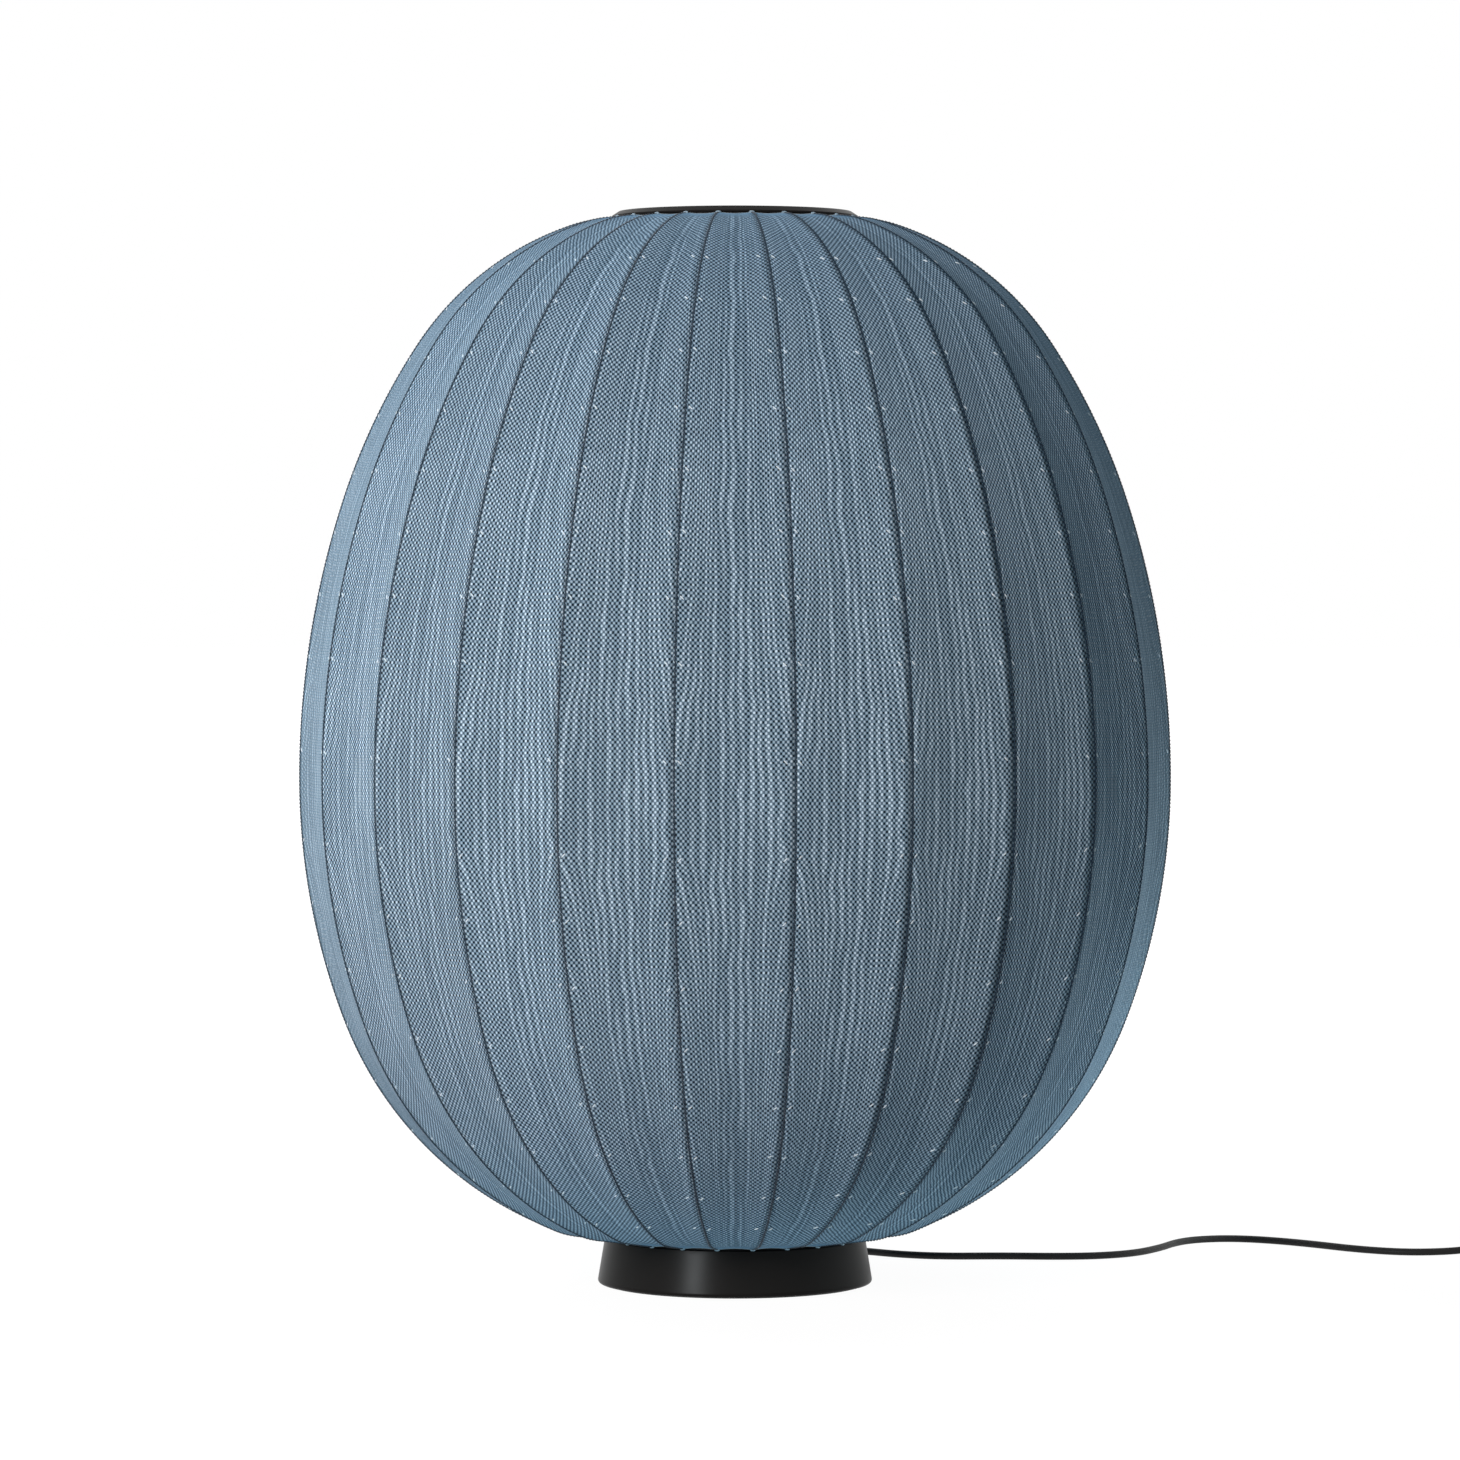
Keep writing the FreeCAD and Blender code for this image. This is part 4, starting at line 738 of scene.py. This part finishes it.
def knit_gore(index):
    across = np.linspace(-1.0, 1.0, GORE_COLUMNS)
    sag = PANEL_SAG * (1 + SAG_SPREAD * RNG.uniform(-1, 1))
    outer = gore_points(PROFILE, across, 0.0, sag).reshape(-1, 3)
    inner = gore_points(PROFILE, across, KNIT_THICKNESS, sag).reshape(-1, 3)
    points = turned(np.concatenate([outer, inner]), 2 * HALF_STEP * index)
    faces = gore_faces(len(PROFILE), GORE_COLUMNS)
    gore = mesh_piece("knit_gore_%02d" % (index + 1), points, faces, KNIT)
    maps = gore_maps(across, 1 + TONE_SPREAD * RNG.uniform(-1, 1), RNG.uniform(0, 1))
    for name, values in maps.items():
        one_side = values.reshape(-1, 2)
        paint_uv(gore.data, name, np.concatenate([one_side, one_side]))
    smooth(gore)
    on_root(gore)
    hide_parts("knit_shade")
    return gore


# Place and outward direction on the crease over a rib, by length along the profile
def crease(along, inset):
    radius, height, angle = (np.interp(along, ALONG, column) for column in PROFILE.T)
    out = np.stack([np.cos(angle), 0 * angle, np.sin(angle)], 1)
    path = np.stack([radius, 0 * radius, height], 1) - inset * out
    return path, out


def rib_angle(index):
    return 2 * HALF_STEP * (index + 0.5)


def seam_cord(index):
    along = np.arange(HEM_ROLL_BACK, ALONG[-1] - HEM_ROLL_BACK, SEAM_STEP)
    path, out = crease(along, SEAM_SINK)
    side = np.broadcast_to((0.0, 1.0, 0.0), out.shape)
    points, faces = [], []
    for ply, start_turn in enumerate((0.0, math.pi)):
        turn = 2 * math.pi * along / SEAM_PITCH + start_turn
        centre = path + SEAM_TWIST_R * (np.cos(turn)[:, None] * side + np.sin(turn)[:, None] * out)
        points.append(tube_points(centre, side, out, SEAM_PLY_R, SEAM_SIDES))
        faces += closed_tube_faces(len(along), SEAM_SIDES, ply * len(along) * SEAM_SIDES)
    in_place = turned(np.concatenate(points), rib_angle(index))
    seam = mesh_piece("seam_cord_%02d" % (index + 1), in_place, faces, SEAM_YARN)
    smooth(seam)
    on_root(seam)


# Small spindles of yarn, one for each place, with directions along, across and out
def spindles(name, places, material, length, radius):
    stations = np.array(SPINDLE_STATIONS)
    girth = np.array(SPINDLE_GIRTH)
    turn = 2 * math.pi * np.arange(SPINDLE_SIDES) / SPINDLE_SIDES
    points, faces = [], []
    for number, (middle, direction, across, out) in enumerate(places):
        path = middle + np.outer(stations * length / 2, direction)
        ring = np.outer(np.cos(turn), across) + np.outer(np.sin(turn), out)
        points.append((path[:, None] + radius * girth[:, None, None] * ring).reshape(-1, 3))
        faces += closed_tube_faces(len(stations), SPINDLE_SIDES, number * len(stations) * SPINDLE_SIDES)
    piece = mesh_piece(name, np.concatenate(points), faces, material)
    smooth(piece)
    on_root(piece)


# Where a mark lies on a gore: place, upward direction, sideways direction and outward direction
def on_gore(along, sideways, sag):
    index = np.clip(np.searchsorted(ALONG, along), 1, len(ALONG) - 1)
    pair = PROFILE[index - 1:index + 1]
    share = (along - ALONG[index - 1]) / (ALONG[index] - ALONG[index - 1])
    step = 0.01
    row = gore_points(pair, np.array((sideways - step, sideways, sideways + step)), 0.0, sag)
    level = row[0] * (1 - share) + row[1] * share
    up = row[1, 1] - row[0, 1]
    side = level[2] - level[0]
    up /= np.linalg.norm(up)
    side /= np.linalg.norm(side)
    return level[1], up, side, np.cross(side, up)


def fashioning_marks():
    places = []
    for along in np.concatenate([MARKS_DOWN, MARKS_UP]):
        half_chord = float(np.interp(along, ALONG, HALF_CHORD))
        lean = 1.0 if along > BELLY_ALONG else -1.0
        for offset, edge in ((MARK_LEFT, 1.0), (MARK_RIGHT, -1.0)):
            sideways = edge * (1 - min(offset / half_chord, MARK_OFFSET_LIMIT))
            for index in range(RIB_COUNT):
                jitter = MARK_JITTER * RNG.uniform(-1, 1)
                middle, up, side, out = on_gore(along + jitter, sideways, PANEL_SAG)
                direction = (lean * side - up) / math.sqrt(2)
                across = (side + lean * up) / math.sqrt(2)
                lines = np.stack([middle + MARK_LIFT * out, direction, across, out])
                places.append(turned(lines, 2 * HALF_STEP * index))
    spindles("fashioning_marks", places, MARK_YARN, MARK_LENGTH, MARK_R)


# Rolled edge of the knit at a hem
def hem_roll(name, along):
    across = np.linspace(-1.0, 1.0, GORE_COLUMNS)[:-1]
    line = np.array([[np.interp(along, ALONG, column) for column in PROFILE.T]])
    row = gore_points(line, across, HEM_ROLL_INSET, PANEL_SAG)[0]
    path = np.concatenate([turned(row, 2 * HALF_STEP * index) for index in range(RIB_COUNT)])
    ahead = np.roll(path, -1, 0) - np.roll(path, 1, 0)
    ahead /= np.linalg.norm(ahead, axis=1)[:, None]
    up = np.broadcast_to((0.0, 0.0, 1.0), path.shape)
    points = tube_points(path, np.cross(ahead, up), up, HEM_ROLL_R, HEM_ROLL_SIDES)
    faces = loop_faces(len(path) + 1, HEM_ROLL_SIDES) % len(points)
    roll = mesh_piece(name, points, faces.tolist(), HEM_YARN)
    smooth(roll)
    on_root(roll)


# A knot where each seam ends in a hem
def seam_knots():
    places = []
    for along in (2 * HEM_ROLL_BACK, ALONG[-1] - 2 * HEM_ROLL_BACK):
        path, out = crease(np.array([along]), 0.0)
        upward = np.cross(out[0], (0.0, 1.0, 0.0))
        lines = np.stack([path[0], (0.0, 1.0, 0.0), upward, out[0]])
        places += [turned(lines, rib_angle(index)) for index in range(RIB_COUNT)]
    spindles("seam_knots", places, HEM_YARN, 3 * KNOT_R, KNOT_R)


# Cloth tunnels that hold the ribs inside the shade
def rib_tunnels():
    along = np.arange(0.0, ALONG[-1], 2 * ROW_STEP)
    path, out = crease(along, RIB_INSET)
    side = np.broadcast_to((0.0, 1.0, 0.0), out.shape)
    one = tube_points(path, side, out, TUNNEL_R, TUNNEL_SIDES)
    points = np.concatenate([turned(one, rib_angle(index)) for index in range(RIB_COUNT)])
    faces = []
    for index in range(RIB_COUNT):
        faces += loop_faces(len(along), TUNNEL_SIDES, index * len(one)).tolist()
    tunnels = mesh_piece("rib_tunnels", points, faces, LINING)
    smooth(tunnels)
    on_root(tunnels)
    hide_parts("rib_casings")


# Lead and coil
def nurbs_tube(name, points, diameter, material):
    curve = bpy.data.curves.new(name, "CURVE")
    curve.dimensions = "3D"
    curve.bevel_depth = diameter / 2
    curve.bevel_resolution = 4
    curve.use_fill_caps = True
    spline = curve.splines.new("NURBS")
    spline.points.add(len(points) - 1)
    for control, place in zip(spline.points, points):
        control.co = (*place, 1.0)
    spline.order_u = 3
    spline.use_endpoint_u = True
    spline.resolution_u = 6
    curve.materials.append(material)
    return new_object(name, curve)


def nurbs_cord(name, points):
    cord = nurbs_tube(name, points, CORD_D, CORD_BLACK)
    on_root(cord)
    return cord


# Out of the switch, inward through the lower layer of turns, outward through the upper one, and to the plug
def coil_points():
    outer_r = COIL_INNER_R + COIL_PITCH * COIL_TURNS / 2
    centre_x = SWITCH_END[0] + COIL_LEAD_IN
    centre_y = SWITCH_END[1] + outer_r
    high_z = COIL_LOW_Z + COIL_PITCH
    points = [
        (SWITCH_END[0] - SWITCH_WALL, SWITCH_END[1], SWITCH_END[2]),
        (SWITCH_END[0] + CORD_D, SWITCH_END[1], SWITCH_END[2]),
        (SWITCH_END[0] + COIL_LEAD_IN / 2, SWITCH_END[1], (SWITCH_END[2] + COIL_LOW_Z) / 2),
    ]
    for number in range(round(COIL_TURNS * POINTS_PER_TURN) + 1):
        turns = number / POINTS_PER_TURN - COIL_TURNS / 2
        angle = 2 * math.pi * number / POINTS_PER_TURN - math.pi / 2
        radius = TURN_WIDENING * (COIL_INNER_R + COIL_PITCH * abs(turns))
        share = min(max(2 * turns + 0.5, 0.0), 1.0)
        height = COIL_LOW_Z + COIL_PITCH * share * share * (3 - 2 * share)
        points.append((centre_x + radius * math.cos(angle), centre_y + radius * math.sin(angle), height))
    plug_y = centre_y + outer_r + COIL_GAP
    points.append((centre_x - COIL_LEAD_OUT + CORD_D, plug_y, high_z))
    points.append((centre_x - COIL_LEAD_OUT, plug_y, high_z))
    return points


def make_cords():
    lead = nurbs_cord("lead", CORD_ROUTE)
    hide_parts("cord_lead")
    points = coil_points()
    coil = nurbs_cord("lead_coil", points)
    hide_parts("cord_coil")
    coil_strap()


# The strap's line in X and Z, its end lapped over its start, and its outward directions
def strap_line(half_x, half_z):
    straight_x = half_x - STRAP_BEND
    straight_z = half_z - STRAP_BEND
    path, out = [(0.0, half_z)], [(0.0, 1.0)]
    for number, (side_x, side_z) in enumerate(((1, 1), (1, -1), (-1, -1), (-1, 1))):
        for step in np.linspace(0.0, math.pi / 2, STRAP_BEND_STEPS):
            turn = math.pi / 2 - number * math.pi / 2 - step
            facing = (math.cos(turn), math.sin(turn))
            path.append((side_x * straight_x + STRAP_BEND * facing[0],
                         side_z * straight_z + STRAP_BEND * facing[1]))
            out.append(facing)
    path += [(share * straight_x, half_z + STRAP_THICKNESS) for share in STRAP_LAP]
    out += [(0.0, 1.0)] * len(STRAP_LAP)
    return np.array(path), np.array(out)


def coil_strap():
    low, high = (np.array(corner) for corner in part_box("cord_tie"))
    half_x, half_width, half_z = (high - low) / 2
    edge = STRAP_THICKNESS / 2
    path, out = strap_line(half_x - edge, half_z - edge)
    centre = (low + high) / 2 + np.insert(path, 1, 0.0, axis=1)
    out = np.insert(out, 1, 0.0, axis=1)
    side = np.broadcast_to((0.0, 1.0, 0.0), out.shape)
    section = ((half_width, 0.5), (half_width - edge, 1), (edge - half_width, 1), (-half_width, 0.5),
               (-half_width, -0.5), (edge - half_width, -1), (half_width - edge, -1), (half_width, -0.5))
    rings = [centre + width * side + lift * edge * out for width, lift in section]
    points = np.stack(rings, 1).reshape(-1, 3)
    strap = mesh_piece("coil_strap", points, closed_tube_faces(len(centre), len(section)), STRAP_YARN)
    on_root(strap)
    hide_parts("cord_tie")
    return strap


# Spring under the foot switch's button
def button_spring():
    low, high = (np.array(corner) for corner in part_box("switch_spring"))
    middle = (low + high) / 2
    radius = TURN_WIDENING * (high[0] - low[0] - SPRING_WIRE_D) / 2
    bottom, top = low[2] + SPRING_WIRE_D / 2, high[2] - SPRING_WIRE_D / 2
    points = []
    for number in range(SPRING_TURNS * POINTS_PER_TURN + 1):
        turns = number / POINTS_PER_TURN
        angle = 2 * math.pi * turns
        height = bottom + turns / SPRING_TURNS * (top - bottom)
        points.append((middle[0] + radius * math.cos(angle), middle[1] + radius * math.sin(angle), height))
    wire = nurbs_tube("button_spring_wire", points, SPRING_WIRE_D, STEEL)
    spring = new_object("button_spring", bpy.data.meshes.new_from_object(wire))
    bpy.data.objects.remove(wire)
    on_root(spring)
    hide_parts("switch_spring")
    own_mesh(spring)


def add_ring(curve, x, y, radius, sides):
    spline = curve.splines.new("POLY")
    spline.points.add(sides - 1)
    spline.use_cyclic_u = True
    for number, point in enumerate(spline.points):
        turn = 2 * math.pi * number / sides
        point.co = (x + radius * math.cos(turn), y + radius * math.sin(turn), 0.0, 1.0)


# Felt under the foot, cut round the screw heads
def felt_pad():
    low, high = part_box("floor_pad")
    circle_r = -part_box("base_plate_screws")[0][1] - SCREW_HEAD_R
    hole_r = SCREW_HEAD_R + FELT_HOLE_GAP + FELT_ROUND
    curve = bpy.data.curves.new("felt_pad", "CURVE")
    curve.dimensions = "2D"
    curve.fill_mode = "BOTH"
    curve.extrude = (high[2] - low[2]) / 2 - FELT_ROUND
    curve.bevel_depth = FELT_ROUND
    curve.bevel_resolution = 2
    curve.materials.append(FELT)
    add_ring(curve, 0.0, 0.0, high[0] - FELT_ROUND, FELT_SIDES)
    for degrees in SCREW_ANGLES:
        turn = math.radians(degrees)
        add_ring(curve, circle_r * math.cos(turn), circle_r * math.sin(turn), hole_r, FELT_HOLE_SIDES)
    pad = new_object("felt_pad", curve)
    pad.location.z = (low[2] + high[2]) / 2
    on_root(pad)
    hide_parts("floor_pad")


bpy.context.scene.view_settings.view_transform = "Standard"
make_camera()
make_cords()
make_lights()
make_world()
make_floor()
for number in range(RIB_COUNT):
    knit_gore(number)
    seam_cord(number)
fashioning_marks()
hem_roll("lower_hem", HEM_ROLL_BACK)
hem_roll("upper_hem", ALONG[-1] - HEM_ROLL_BACK)
seam_knots()
rib_tunnels()
button_spring()
felt_pad()
finish_parts()
